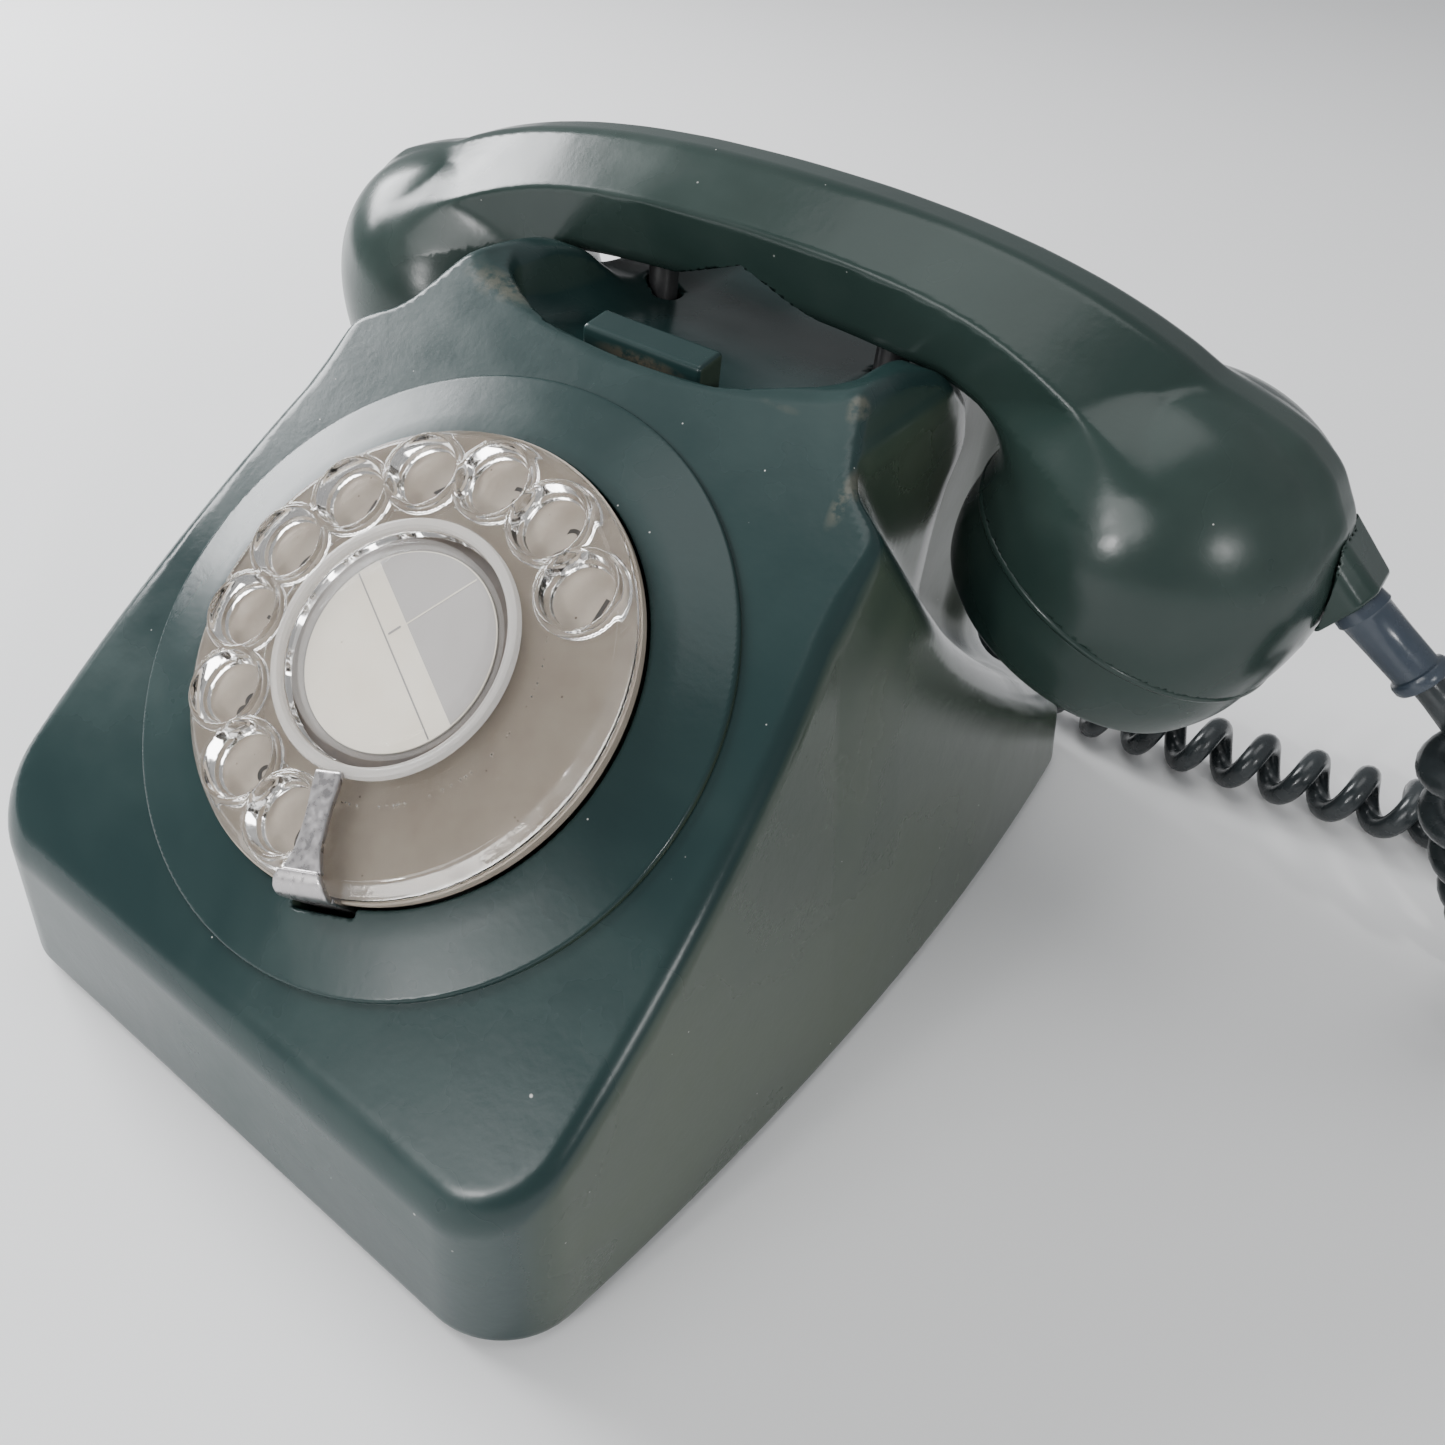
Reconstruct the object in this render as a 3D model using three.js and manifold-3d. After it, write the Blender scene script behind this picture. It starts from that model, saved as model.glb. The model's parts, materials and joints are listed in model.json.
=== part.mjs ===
// Rotary telephone: case, dial, bell, gravity switch, handset and curly cord. Millimetres, +Z up.
// x = 0 is the plane of symmetry, the front faces -Y, and z = 0 is the surface that the feet stand on.
import * as THREE from 'three';
import { mergeVertices } from 'three/addons/utils/BufferGeometryUtils.js';
import Module from 'manifold-3d';

const wasm = await Module();
wasm.setup();

// ---------------------------------------------------------------- driving dimensions
const GAP = 0.3;
const CASE_HALF_LENGTH = 96.9;
const CASE_BOTTOM = 2;
const CASE_TOP = 112;
const WALL = 2.6;
const FACE_SLOPE = THREE.MathUtils.degToRad(37);
const FACE_FRONT_Y = -95.1; // the sloping face, carried on, meets the front wall here
const FACE_FRONT_Z = 33.2;
const HALF_WIDTH_FRONT = 63.9;
const HALF_WIDTH_REAR = 69;
const SIDE_BULGE = 6.5;
const PLAN_CORNER_RADIUS = 13;
const SHOULDER_UP_FACE = 113; // how far up the face the wide lower body reaches
const BLOCK_HALF_WIDTH = 45;
const ROOF_INSIDE = 94;

const DIAL_UP_FACE = 61.3;
const DIAL_STEP_RADIUS = 52.3;
const DIAL_OPENING_RADIUS = 39.2;
const PLATE_RADIUS = 38.5;
const PLATE_BOTTOM = 5.2; // heights in the dial are above the sloping face
const PLATE_TOP = 8.2;
const HOLE_CIRCLE = 30.2;
const HOLE_RADIUS = 6.1;
const HOLE_COUNT = 10;
const HOLE_STEP = THREE.MathUtils.degToRad(25.2);
const FIRST_HOLE = THREE.MathUtils.degToRad(47); // clockwise from the top of the dial
const STOP_BASE = [10.9, -37.6];
const STOP_TIP = [4.0, -20.6];
const SPINDLE_RADIUS = 3;
const GEAR_MODULE = 0.9;
const GEAR_TEETH = 36;
const PINION_TEETH = 12;
const GOVERNOR_ANGLE = THREE.MathUtils.degToRad(35);

const HANDSET_Y = 47.9;
const HANDSET_TOP = 127.7;
const HANDLE_DEPTH = 21.5;
const CUP_X = 77.5; // middle of the seam between a cup and its cap
const CUP_Z = 80;
const CUP_TILT = THREE.MathUtils.degToRad(21);
const CUP_RADIUS = 29.5;
const CUP_HEIGHT = 34;
const CAP_DEPTH = 15.5;

const BASE_PLATE_Z = 2.5;
const BASE_PLATE_THICKNESS = 1.5;
const FLOOR = BASE_PLATE_Z + BASE_PLATE_THICKNESS + GAP;
const SCREW_PLACES = [['front', -86], ['rear', 84]]; // on the centre line
const POST_TOP = 65;
const PLUNGER_X = 26;
const GONG_X = 29.5;
const GONG_Y = 54;
const GONG_RADIUS = 24;
const BELL_PIVOT_Y = 33.8;
const SWITCH_PIVOT = [66, 80];
const CORD_RADIUS = 2.3;
const COIL_RADIUS = 7.5;
const CORD_GLAND_X = 30;
const LINE_GLAND_X = -20;
const GLAND_Z = 12;

// ---------------------------------------------------------------- materials
const finish = (color, roughness, metalness) => new THREE.MeshStandardMaterial({ color, roughness, metalness });
const finishes = {
  caseGreen: () => finish(0x2b4448, 0.3, 0),
  handsetGreen: () => finish(0x33443f, 0.28, 0),
  clear: () => finish(0xe6e2da, 0.08, 0),
  beige: () => finish(0xb0a596, 0.45, 0),
  card: () => finish(0xdcd5c4, 0.8, 0),
  steel: () => finish(0x9a9a9c, 0.35, 0.9),
  zinc: () => finish(0xa3a6a0, 0.45, 0.85),
  brass: () => finish(0xb08d4a, 0.35, 0.9),
  copper: () => finish(0x8a4a2c, 0.5, 0.4),
  board: () => finish(0x6b4a2a, 0.6, 0),
  black: () => finish(0x1c1e20, 0.5, 0),
  relief: () => finish(0x2d3640, 0.3, 0),
  cord: () => finish(0x23292c, 0.35, 0),
  rubber: () => finish(0x1a1a1a, 0.85, 0),
};

// ---------------------------------------------------------------- geometry helpers
const telephone = new THREE.Group();

function clean(geometry) {
  const bare = geometry.clone();
  bare.deleteAttribute('normal');
  bare.deleteAttribute('uv');
  const merged = mergeVertices(bare, 1e-3);
  const at = merged.attributes.position;
  const index = merged.index.array;
  const kept = [];
  let volume = 0;
  const corners = [new THREE.Vector3(), new THREE.Vector3(), new THREE.Vector3()];
  for (let i = 0; i < index.length; i += 3) {
    const [a, b, c] = [index[i], index[i + 1], index[i + 2]];
    if (a !== b && b !== c && c !== a) {
      kept.push(a, b, c);
      [a, b, c].forEach((k, n) => corners[n].fromBufferAttribute(at, k));
      volume += corners[0].dot(corners[1].clone().cross(corners[2]));
    }
  }
  if (volume < 0) {
    for (let i = 0; i < kept.length; i += 3) {
      [kept[i], kept[i + 1]] = [kept[i + 1], kept[i]];
    }
  }
  merged.setIndex(kept);
  return merged;
}

function solid(geometry) {
  const closed = clean(geometry);
  return new wasm.Manifold(new wasm.Mesh({
    numProp: 3,
    vertProperties: Float32Array.from(closed.attributes.position.array),
    triVerts: Uint32Array.from(closed.index.array),
  }));
}

function surface(manifold) {
  const mesh = manifold.getMesh();
  const geometry = new THREE.BufferGeometry();
  geometry.setAttribute('position', new THREE.BufferAttribute(Float32Array.from(mesh.vertProperties), 3));
  geometry.setIndex(Array.from(mesh.triVerts));
  return geometry;
}

function piece(name, geometry, material, parent = telephone) {
  const closed = clean(geometry);
  closed.computeVertexNormals();
  const mesh = new THREE.Mesh(closed, material);
  mesh.name = name;
  parent.add(mesh);
  return mesh;
}

const shape = (points) => new THREE.Shape(points.map(([x, y]) => new THREE.Vector2(x, y)));

function extrude(points, depth, holes = []) {
  const outline = shape(points);
  outline.holes = holes.map((hole) => shape(hole));
  return new THREE.ExtrudeGeometry(outline, { depth, bevelEnabled: false });
}

// a prism along X from an outline in (y, z)
function prismX(points, low, high) {
  const axes = new THREE.Matrix4().makeBasis(
    new THREE.Vector3(0, 1, 0), new THREE.Vector3(0, 0, 1), new THREE.Vector3(1, 0, 0),
  );
  return extrude(points, high - low).applyMatrix4(axes).translate(low, 0, 0);
}

// a prism along Y from an outline in (x, z)
function prismY(points, low, high) {
  return extrude(points, high - low).rotateX(Math.PI / 2).translate(0, high, 0);
}

function box(low, high) {
  const size = high.map((v, i) => v - low[i]);
  return new THREE.BoxGeometry(...size).translate(...low.map((v, i) => v + size[i] / 2));
}

// a turned part about the Z axis, from (radius, height) points
function turned(points, segments = 32) {
  return new THREE.LatheGeometry(points.map(([r, h]) => new THREE.Vector2(r, h)), segments).rotateX(Math.PI / 2);
}

function rod(radius, low, high, segments = 16) {
  return turned([[0, low], [radius, low], [radius, high], [0, high]], segments);
}

function ring(inner, outer, low, high, segments = 32) {
  return turned([[inner, low], [outer, low], [outer, high], [inner, high], [inner, low]], segments);
}

const alongX = (geometry) => geometry.rotateY(Math.PI / 2);
const alongY = (geometry) => geometry.rotateX(-Math.PI / 2);

function circle(radius, sides, start = 0) {
  return Array.from({ length: sides }, (_, i) => {
    const a = start + (2 * Math.PI * i) / sides;
    return [radius * Math.cos(a), radius * Math.sin(a)];
  });
}

// a solid between rings of equally many points, closed by a fan at each end
function loft(rings) {
  const count = rings[0].length;
  const points = rings.flat();
  const faces = [];
  for (let r = 0; r + 1 < rings.length; r += 1) {
    for (let i = 0; i < count; i += 1) {
      const a = r * count + i;
      const b = r * count + ((i + 1) % count);
      faces.push(a, b, b + count, a, b + count, a + count);
    }
  }
  [0, rings.length - 1].forEach((r) => {
    const middle = points.length;
    points.push([0, 1, 2].map((k) => rings[r].reduce((sum, p) => sum + p[k], 0) / count));
    for (let i = 0; i < count; i += 1) {
      const pair = [r * count + i, r * count + ((i + 1) % count)];
      faces.push(...(r === 0 ? [pair[1], pair[0], middle] : [pair[0], pair[1], middle]));
    }
  });
  const geometry = new THREE.BufferGeometry();
  geometry.setAttribute('position', new THREE.Float32BufferAttribute(points.flat(), 3));
  geometry.setIndex(faces);
  return geometry;
}

function tube(points, radius, sides, steps) {
  const path = new THREE.CatmullRomCurve3(points.map((p) => new THREE.Vector3(...p)));
  return new THREE.ExtrudeGeometry(shape(circle(radius, sides)), { steps, extrudePath: path, bevelEnabled: false });
}

// ---------------------------------------------------------------- the case
const faceY = (up) => FACE_FRONT_Y + up * Math.cos(FACE_SLOPE);
const faceZ = (up) => FACE_FRONT_Z + up * Math.sin(FACE_SLOPE);

// half the width of the wide lower body: bulging at the bottom in plan, drawn in as it rises
function halfWidth(y, z) {
  const along = (y + CASE_HALF_LENGTH) / (2 * CASE_HALF_LENGTH);
  const straight = THREE.MathUtils.lerp(HALF_WIDTH_FRONT, HALF_WIDTH_REAR, along);
  const bottom = straight + SIDE_BULGE * 4 * along * (1 - along);
  const draw = 0.045 + 0.125 * Math.min(1, along / 0.4) + 0.05 * Math.max(0, along - 0.5);
  return bottom - draw * (z - CASE_BOTTOM);
}

// one rounded outline of the lower body at height z, drawn in by inset all round
function planRing(z, inset) {
  const stations = [0.14, 0.32, 0.5, 0.68, 0.86];
  const reach = CASE_HALF_LENGTH - inset;
  const radius = PLAN_CORNER_RADIUS - inset;
  const side = stations.map((t) => {
    const y = THREE.MathUtils.lerp(-reach, reach, t);
    return [halfWidth(y, z) - inset, y];
  });
  const corner = (y, from) => Array.from({ length: 5 }, (_, i) => {
    const a = from + (i * Math.PI) / 8;
    const centre = [halfWidth(y, z) - inset - radius, y - Math.sign(y) * radius];
    return [centre[0] + radius * Math.cos(a), centre[1] + radius * Math.sin(a)];
  });
  const right = [...corner(-reach, -Math.PI / 2), ...side, ...corner(reach, 0)];
  const left = right.map(([x, y]) => [-x, y]).reverse();
  return [...right, ...left].map(([x, y]) => [x, y, z]);
}

// the lower body's outline seen from the side, with the sloping face on top and a falling back edge
function lowerProfile(inset, bottom) {
  const up = inset / Math.cos(FACE_SLOPE);
  return [
    [-CASE_HALF_LENGTH + inset, bottom],
    [-CASE_HALF_LENGTH + 1.2 + inset, FACE_FRONT_Z - 5.2],
    [-CASE_HALF_LENGTH + 2.3 + inset, FACE_FRONT_Z - 1.6 - inset / 2],
    [faceY(5.4) + inset / 2, faceZ(5.4) - up],
    [faceY(SHOULDER_UP_FACE), faceZ(SHOULDER_UP_FACE) - up],
    [14 - inset / 2, 78 - inset],
    [24 - inset / 2, 67 - inset],
    [47 - inset / 2, 47.5 - inset],
    [76 - inset / 2, 27 - inset],
    [93 - inset, 17 - inset],
    [CASE_HALF_LENGTH - inset, 10],
    [CASE_HALF_LENGTH - inset, bottom],
  ];
}

// the narrower block with the cradle: horns front and rear, and a saddle that the handle lies across
const blockProfile = [
  [-60, CASE_BOTTOM], [-60, faceZ(44)], [faceY(129), faceZ(129)], [10.5, CASE_TOP], [26.9, 110.4],
  [32, 105.5], [36.6, 99.8], [42, 98.6], [62, 98.6], [70, 100.5], [80, 105], [89, 111], [92, CASE_TOP],
  [94.2, 110.5], [95.2, 106], [CASE_HALF_LENGTH, 60], [CASE_HALF_LENGTH, CASE_BOTTOM],
];

function blockRing(z) {
  const stretch = 0.02 * (CASE_TOP - z);
  const right = [
    [BLOCK_HALF_WIDTH - 6, -90], [BLOCK_HALF_WIDTH, -84], [BLOCK_HALF_WIDTH, 34], [BLOCK_HALF_WIDTH - 2.5, 41],
    [BLOCK_HALF_WIDTH - 6, 50], [BLOCK_HALF_WIDTH - 6, 66], [BLOCK_HALF_WIDTH - 3, 78], [BLOCK_HALF_WIDTH - 4, 89],
    [BLOCK_HALF_WIDTH - 9, CASE_HALF_LENGTH],
  ].map(([x, y]) => [x + stretch, y]);
  const left = right.map(([x, y]) => [-x, y]).reverse();
  return [...right, ...left].map(([x, y]) => [x, y, z]);
}

const basinProfile = [
  [2.4, 130], [2.6, 106], [4.2, 102.6], [9, 101.4], [28, 98.4], [62, 97], [80, 99], [89, 104], [91, 108], [91, 130],
];
const rearDip = [[-23, 120], [-23, 112.5], [-13, 107], [13, 107], [23, 112.5], [23, 120]];
const basinAcross = [
  [-26, 90], [26, 90], [30, 103], [34, 108.5], [38, 112.6], [42, 130], [-42, 130], [-38, 112.6], [-34, 108.5],
  [-30, 103],
];

function makeCase() {
  const lowerOutside = solid(prismX(lowerProfile(0, CASE_BOTTOM), -90, 90))
    .intersect(solid(loft([2, 18, 34, 60, 85, 115].map((z) => planRing(z, 0)))));
  const lowerInside = solid(prismX(lowerProfile(WALL, -5), -90, 90))
    .intersect(solid(loft([-6, 18, 34, 60, 85, 115].map((z) => planRing(z, WALL)))));
  const blockOutside = solid(prismX(blockProfile, -90, 90)).intersect(solid(loft([1, 120].map(blockRing))));
  const blockInside = solid(prismX([
    [-55, -5], [-55, faceZ(44)], [faceY(90), faceZ(90) - 3.3], [faceY(99), ROOF_INSIDE], [89, ROOF_INSIDE],
    [92.8, 60], [93.5, -5],
  ], -(BLOCK_HALF_WIDTH - 9.5), BLOCK_HALF_WIDTH - 9.5));
  const basin = solid(prismX(basinProfile, -60, 60)).intersect(solid(prismY(basinAcross, -20, 110)));
  const dip = solid(prismY(rearDip, 85, 110));
  const pocket = solid(box([-30, 76, 66], [30, 110, 89]));
  const pocketWalls = solid(box([-30 - WALL, 76 - WALL, 66 - WALL], [30 + WALL, 110, 89 + WALL]));

  const onFace = (geometry) => geometry.rotateX(FACE_SLOPE).translate(0, faceY(DIAL_UP_FACE), faceZ(DIAL_UP_FACE));
  const dialRise = solid(onFace(turned([
    [0, -1], [DIAL_STEP_RADIUS, -1], [DIAL_STEP_RADIUS, 0.5], [DIAL_STEP_RADIUS - 0.6, 0.9], [41, 3], [0, 3],
  ], 48)));
  const dialOpening = solid(onFace(rod(DIAL_OPENING_RADIUS, -12, 12, 48)));
  const stopSlot = solid(onFace(box([-5.6, -1.6, -12], [5.6, 3.4, 12])
    .rotateZ(stopTurn).translate(STOP_BASE[0], STOP_BASE[1] - 1.2, 0)));

  // the screw posts are material left standing in the hollow
  let hollow = lowerInside.add(blockInside).subtract(pocketWalls);
  SCREW_PLACES.forEach(([, y]) => {
    hollow = hollow.subtract(solid(rod(4, FLOOR, POST_TOP, 12).translate(0, y, 0)));
  });
  let body = lowerOutside.add(blockOutside).add(dialRise);
  body = body.subtract(basin).subtract(dip).subtract(pocket).subtract(hollow);
  SCREW_PLACES.forEach(([, y]) => {
    body = body.subtract(solid(rod(1.7, FLOOR - 1, FLOOR + 12, 12).translate(0, y, 0)));
  });
  body = body.subtract(dialOpening).subtract(stopSlot);
  [-1, 1].forEach((side) => {
    body = body.subtract(solid(rod(3.4, 80, 110, 16).translate(side * PLUNGER_X, HANDSET_Y, 0)));
  });
  body = body.subtract(solid(box([-13, 6.1, 80], [13, 13.3, 120])));
  body = body.subtract(solid(alongY(rod(5.5, 80, 110, 16)).translate(CORD_GLAND_X, 0, GLAND_Z)));
  body = body.subtract(solid(alongY(rod(5.5, 80, 110, 16)).translate(LINE_GLAND_X, 0, GLAND_Z)));
  piece('case_shell', surface(body), finishes.caseGreen());
}

// ---------------------------------------------------------------- base plate, feet and screws
function makeBase() {
  const outline = planRing(BASE_PLATE_Z, WALL + 0.8).map(([x, y]) => [x, y]);
  const holes = SCREW_PLACES.map(([, y]) => circle(1.7, 12).map(([across, along]) => [across, along + y]));
  piece('base_plate', extrude(outline, BASE_PLATE_THICKNESS, holes).translate(0, 0, BASE_PLATE_Z), finishes.zinc());
  SCREW_PLACES.forEach(([where, y]) => {
    piece(`case_screw_${where}`, turned([
      [0, 0.9], [3, 0.9], [3, 2.2], [1.3, 2.2], [1.3, FLOOR + 9], [0, FLOOR + 9],
    ], 12).translate(0, y, 0), finishes.steel());
  });
  [['front_left', -50, -80], ['front_right', 50, -80], ['rear_left', -54, 78], ['rear_right', 54, 78]].forEach(
    ([where, x, y]) => {
      piece(`foot_${where}`, turned([[0, 0], [6, 0], [7, 1], [7, 2.2], [0, 2.2]], 20).translate(x, y, 0),
        finishes.rubber());
    },
  );
}

// ---------------------------------------------------------------- the dial
const stopReach = Math.hypot(STOP_TIP[0] - STOP_BASE[0], STOP_TIP[1] - STOP_BASE[1]);
const stopTurn = Math.atan2(STOP_BASE[0] - STOP_TIP[0], STOP_TIP[1] - STOP_BASE[1]);

function gearOutline(teeth, phase) {
  const pitch = (teeth * GEAR_MODULE) / 2;
  const step = (2 * Math.PI) / teeth;
  const [root, tip] = [pitch - 1.05 * GEAR_MODULE, pitch + 0.65 * GEAR_MODULE];
  const corners = [[root, -0.29], [tip, -0.11], [tip, 0.11], [root, 0.29]];
  return Array.from({ length: teeth }, (_, i) => corners.map(([r, share]) => {
    const a = phase + (i + share) * step;
    return [r * Math.cos(a), r * Math.sin(a)];
  })).flat();
}

function makeDial() {
  const dial = new THREE.Group();
  dial.position.set(0, faceY(DIAL_UP_FACE), faceZ(DIAL_UP_FACE));
  dial.rotation.x = FACE_SLOPE;
  telephone.add(dial);

  // fixed parts
  piece('number_plate', ring(5.5, 38.6, 3, 4.4, 36), finishes.beige(), dial);
  piece('dial_frame', turned([
    [4.9, -14], [38, -14], [38, 2.7], [36.5, 2.7], [36.5, -12.5], [4.9, -12.5], [4.9, -14],
  ], 28), finishes.zinc(), dial);
  piece('spindle_bush', ring(SPINDLE_RADIUS + GAP, 4.6, -15, -8.5, 20), finishes.brass(), dial);
  const spring = Array.from({ length: 49 }, (_, i) => {
    const a = (i * Math.PI) / 6;
    const r = 5.2 + i * 0.11;
    return [r * Math.cos(a), r * Math.sin(a), 0];
  });
  piece('return_spring', tube(spring, 0.28, 4, 48).translate(0, 0, -2), finishes.steel(), dial);
  const comb = [
    [0, 0], [16, 0], [16, 0.8], [3, 0.8], [3, 2], [15, 2], [15, 2.8], [3, 2.8], [3, 4], [14, 4], [14, 4.8], [0, 4.8],
  ];
  piece('pulse_springs', extrude(comb, 4).translate(-28, -22, -11.5), finishes.brass(), dial);

  const strip = solid(prismX([
    [0.6, -6], [0.6, 8.2], [-0.3, 9.4], [-1.6, 10], [-3, 10.2], [-stopReach - 1, 10.2], [-stopReach - 1, 9],
    [-2.6, 9], [-1.2, 8.6], [-0.7, 7.8], [-0.7, -6],
  ].map(([y, z]) => [-y, z]), -6, 6));
  const seenFromAbove = solid(extrude([
    [-4.8, -2], [4.8, -2], [4.4, 2], [2.6, 6], [2.1, 11], [2.4, stopReach - 0.6], [1.4, stopReach], [-1.4, stopReach],
    [-2.4, stopReach - 0.6], [-2.5, 11], [-3.2, 6], [-4.4, 2],
  ], 30).translate(0, 0, -10));
  piece('finger_stop', surface(strip.intersect(seenFromAbove)).rotateZ(stopTurn)
    .translate(STOP_BASE[0], STOP_BASE[1] - 1, 0), finishes.steel(), dial);

  // turning parts
  let plate = solid(turned([
    [0, PLATE_BOTTOM], [PLATE_RADIUS, PLATE_BOTTOM], [PLATE_RADIUS, PLATE_BOTTOM + 1.2],
    [PLATE_RADIUS - 1.8, PLATE_TOP], [0, PLATE_TOP],
  ], 40));
  for (let i = 0; i < HOLE_COUNT; i += 1) {
    const a = FIRST_HOLE - i * HOLE_STEP;
    const hole = turned([
      [0, PLATE_BOTTOM - 1], [HOLE_RADIUS - 0.9, PLATE_BOTTOM - 1], [HOLE_RADIUS - 0.4, PLATE_TOP - 0.6],
      [HOLE_RADIUS, PLATE_TOP + 0.1], [HOLE_RADIUS, PLATE_TOP + 1], [0, PLATE_TOP + 1],
    ], 14);
    plate = plate.subtract(solid(hole.translate(HOLE_CIRCLE * Math.sin(a), HOLE_CIRCLE * Math.cos(a), 0)));
  }
  plate = plate.subtract(solid(rod(19.2, PLATE_BOTTOM + 1, PLATE_TOP + 1, 28)));
  plate = plate.subtract(solid(rod(SPINDLE_RADIUS + GAP, 0, PLATE_TOP, 20)));
  piece('finger_plate', surface(plate), finishes.clear(), dial);
  piece('hub_ring', ring(19.4, 21.2, PLATE_TOP + GAP, PLATE_TOP + 1.2, 32), finishes.steel(), dial);
  piece('label_card', rod(16.6, 6.5, 6.8, 28), finishes.card(), dial);
  piece('label_cover', turned([
    [17.3, 6.5], [18.8, 6.5], [18.6, 9.2], [16.8, 10.2], [0, 10.6], [0, 9.4], [16.2, 9], [17.3, 8.2], [17.3, 6.5],
  ], 28), finishes.clear(), dial);
  piece('dial_spindle', turned([
    [0, -14.5], [SPINDLE_RADIUS, -14.5], [SPINDLE_RADIUS, 4.6], [4.8, 4.6], [4.8, 4.9], [SPINDLE_RADIUS, 4.9],
    [SPINDLE_RADIUS, 6.1], [0, 6.1],
  ], 20), finishes.steel(), dial);
  piece('main_gear', extrude(gearOutline(GEAR_TEETH, 0), 1.6, [circle(SPINDLE_RADIUS + GAP, 20)])
    .translate(0, 0, -6), finishes.brass(), dial);

  // governor, on its own shaft beside the spindle
  const governor = new THREE.Group();
  const away = ((GEAR_TEETH + PINION_TEETH) * GEAR_MODULE) / 2;
  governor.position.set(away * Math.cos(GOVERNOR_ANGLE), away * Math.sin(GOVERNOR_ANGLE), 0);
  dial.add(governor);
  const facing = GOVERNOR_ANGLE + Math.PI; // the pinion's gap faces a tooth of the gear, or the other way round
  const gearStep = (2 * Math.PI) / GEAR_TEETH;
  const pinionStep = (2 * Math.PI) / PINION_TEETH;
  const gearPhase = (GOVERNOR_ANGLE / gearStep) % 1;
  const pinionPhase = facing + (gearPhase + 0.5) * pinionStep;
  const pinion = solid(extrude(gearOutline(PINION_TEETH, pinionPhase), 2).translate(0, 0, -6.2))
    .add(solid(rod(1.6, -12, -2.5, 12)));
  piece('governor_pinion', surface(pinion), finishes.brass(), governor);
  piece('governor_drum', turned([
    [2.2, -12.2], [11.5, -12.2], [11.5, -7.2], [10.3, -7.2], [10.3, -11], [2.2, -11], [2.2, -12.2],
  ], 28), finishes.brass(), governor);
  [['a', 0], ['b', Math.PI]].forEach(([which, turn]) => {
    const arc = [[1.9, -1.2], [7, -1.2], [8.9, -3], [9.7, 1], [8.8, 3.6], [6, 2], [1.9, 1.2]];
    piece(`governor_weight_${which}`, extrude(arc, 2.4).rotateZ(turn).translate(0, 0, -10.6),
      finishes.brass(), governor);
  });
}

// ---------------------------------------------------------------- the bell
function makeBell() {
  [['left', -1], ['right', 1]].forEach(([where, side]) => {
    const at = (geometry) => geometry.translate(side * GONG_X, GONG_Y, 0);
    piece(`gong_${where}`, at(turned([
      [2.2, 23.6], [13, 23], [20, 20], [22.6, 15], [22.6, 7], [GONG_RADIUS, 7], [GONG_RADIUS, 15.6], [21, 21.4],
      [13.6, 24.6], [2.2, 25.2], [2.2, 23.6],
    ], 24)), finishes.brass());
    piece(`gong_post_${where}`, at(turned([
      [0, FLOOR], [7, FLOOR], [7, 6.5], [4, 7], [4, 23.2], [2.1, 23.2], [2.1, 15], [0, 15],
    ], 20)), finishes.zinc());
    piece(`gong_screw_${where}`, at(turned([
      [0, 16], [1.8, 16], [1.8, 25.5], [4.4, 25.5], [4.4, 26.6], [3, 27.4], [0, 27.4],
    ], 20)), finishes.steel());
    piece(`bell_coil_${where}`, alongY(ring(3.3, 9, -2, 30, 24)).translate(side * 12, 0, 15), finishes.copper());
  });
  let yoke = solid(box([-23, -7, FLOOR], [23, -3.3, 26]));
  [-1, 1].forEach((side) => {
    yoke = yoke.add(solid(alongY(rod(3, -4, 31, 16)).translate(side * 12, 0, 15)));
  });
  piece('bell_yoke', surface(yoke), finishes.zinc());
  const armature = solid(box([-13, 33, 11], [13, 34.6, 19])).add(solid(box([-0.9, 34, 14.2], [0.9, GONG_Y, 15.8])))
    .add(solid(rod(2.6, 11, 19, 16).translate(0, BELL_PIVOT_Y, 0)))
    .add(solid(new THREE.SphereGeometry(3, 16, 10).translate(0, GONG_Y, 15)))
    .subtract(solid(rod(1.4, 5, 30, 16).translate(0, BELL_PIVOT_Y, 0)));
  piece('bell_hammer', surface(armature), finishes.steel());
  piece('bell_pivot_pin', rod(1.1, FLOOR, 22, 16).translate(0, BELL_PIVOT_Y, 0), finishes.steel());
}

// ---------------------------------------------------------------- electrical parts
function makeCircuit() {
  piece('circuit_board', box([-42, -78, 8], [42, -38, 9.6]), finishes.board());
  const spacer = solid(box([-40, -76, FLOOR], [40, -40, 8 - GAP]))
    .subtract(solid(box([-34, -70, 0], [34, -46, 10])));
  piece('board_spacer', surface(spacer), finishes.black());
  const core = [[-14, 9.9], [14, 9.9], [14, 28], [-14, 28]];
  piece('induction_coil', prismY(core, -72, -50).translate(-22, 0, 0), finishes.copper());
  piece('capacitor', alongX(rod(7, -16, 16, 24)).translate(22, -48, 17.2), finishes.zinc());
  const comb = [[0, 9.9], [40, 9.9], [40, 19]];
  for (let i = 4; i > 0; i -= 1) {
    comb.push([i * 8 + 2, 19], [i * 8 + 2, 14], [i * 8 - 2, 14], [i * 8 - 2, 19]);
  }
  comb.push([0, 19]);
  piece('terminal_block', prismY(comb, -74, -64), finishes.black());
}

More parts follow.
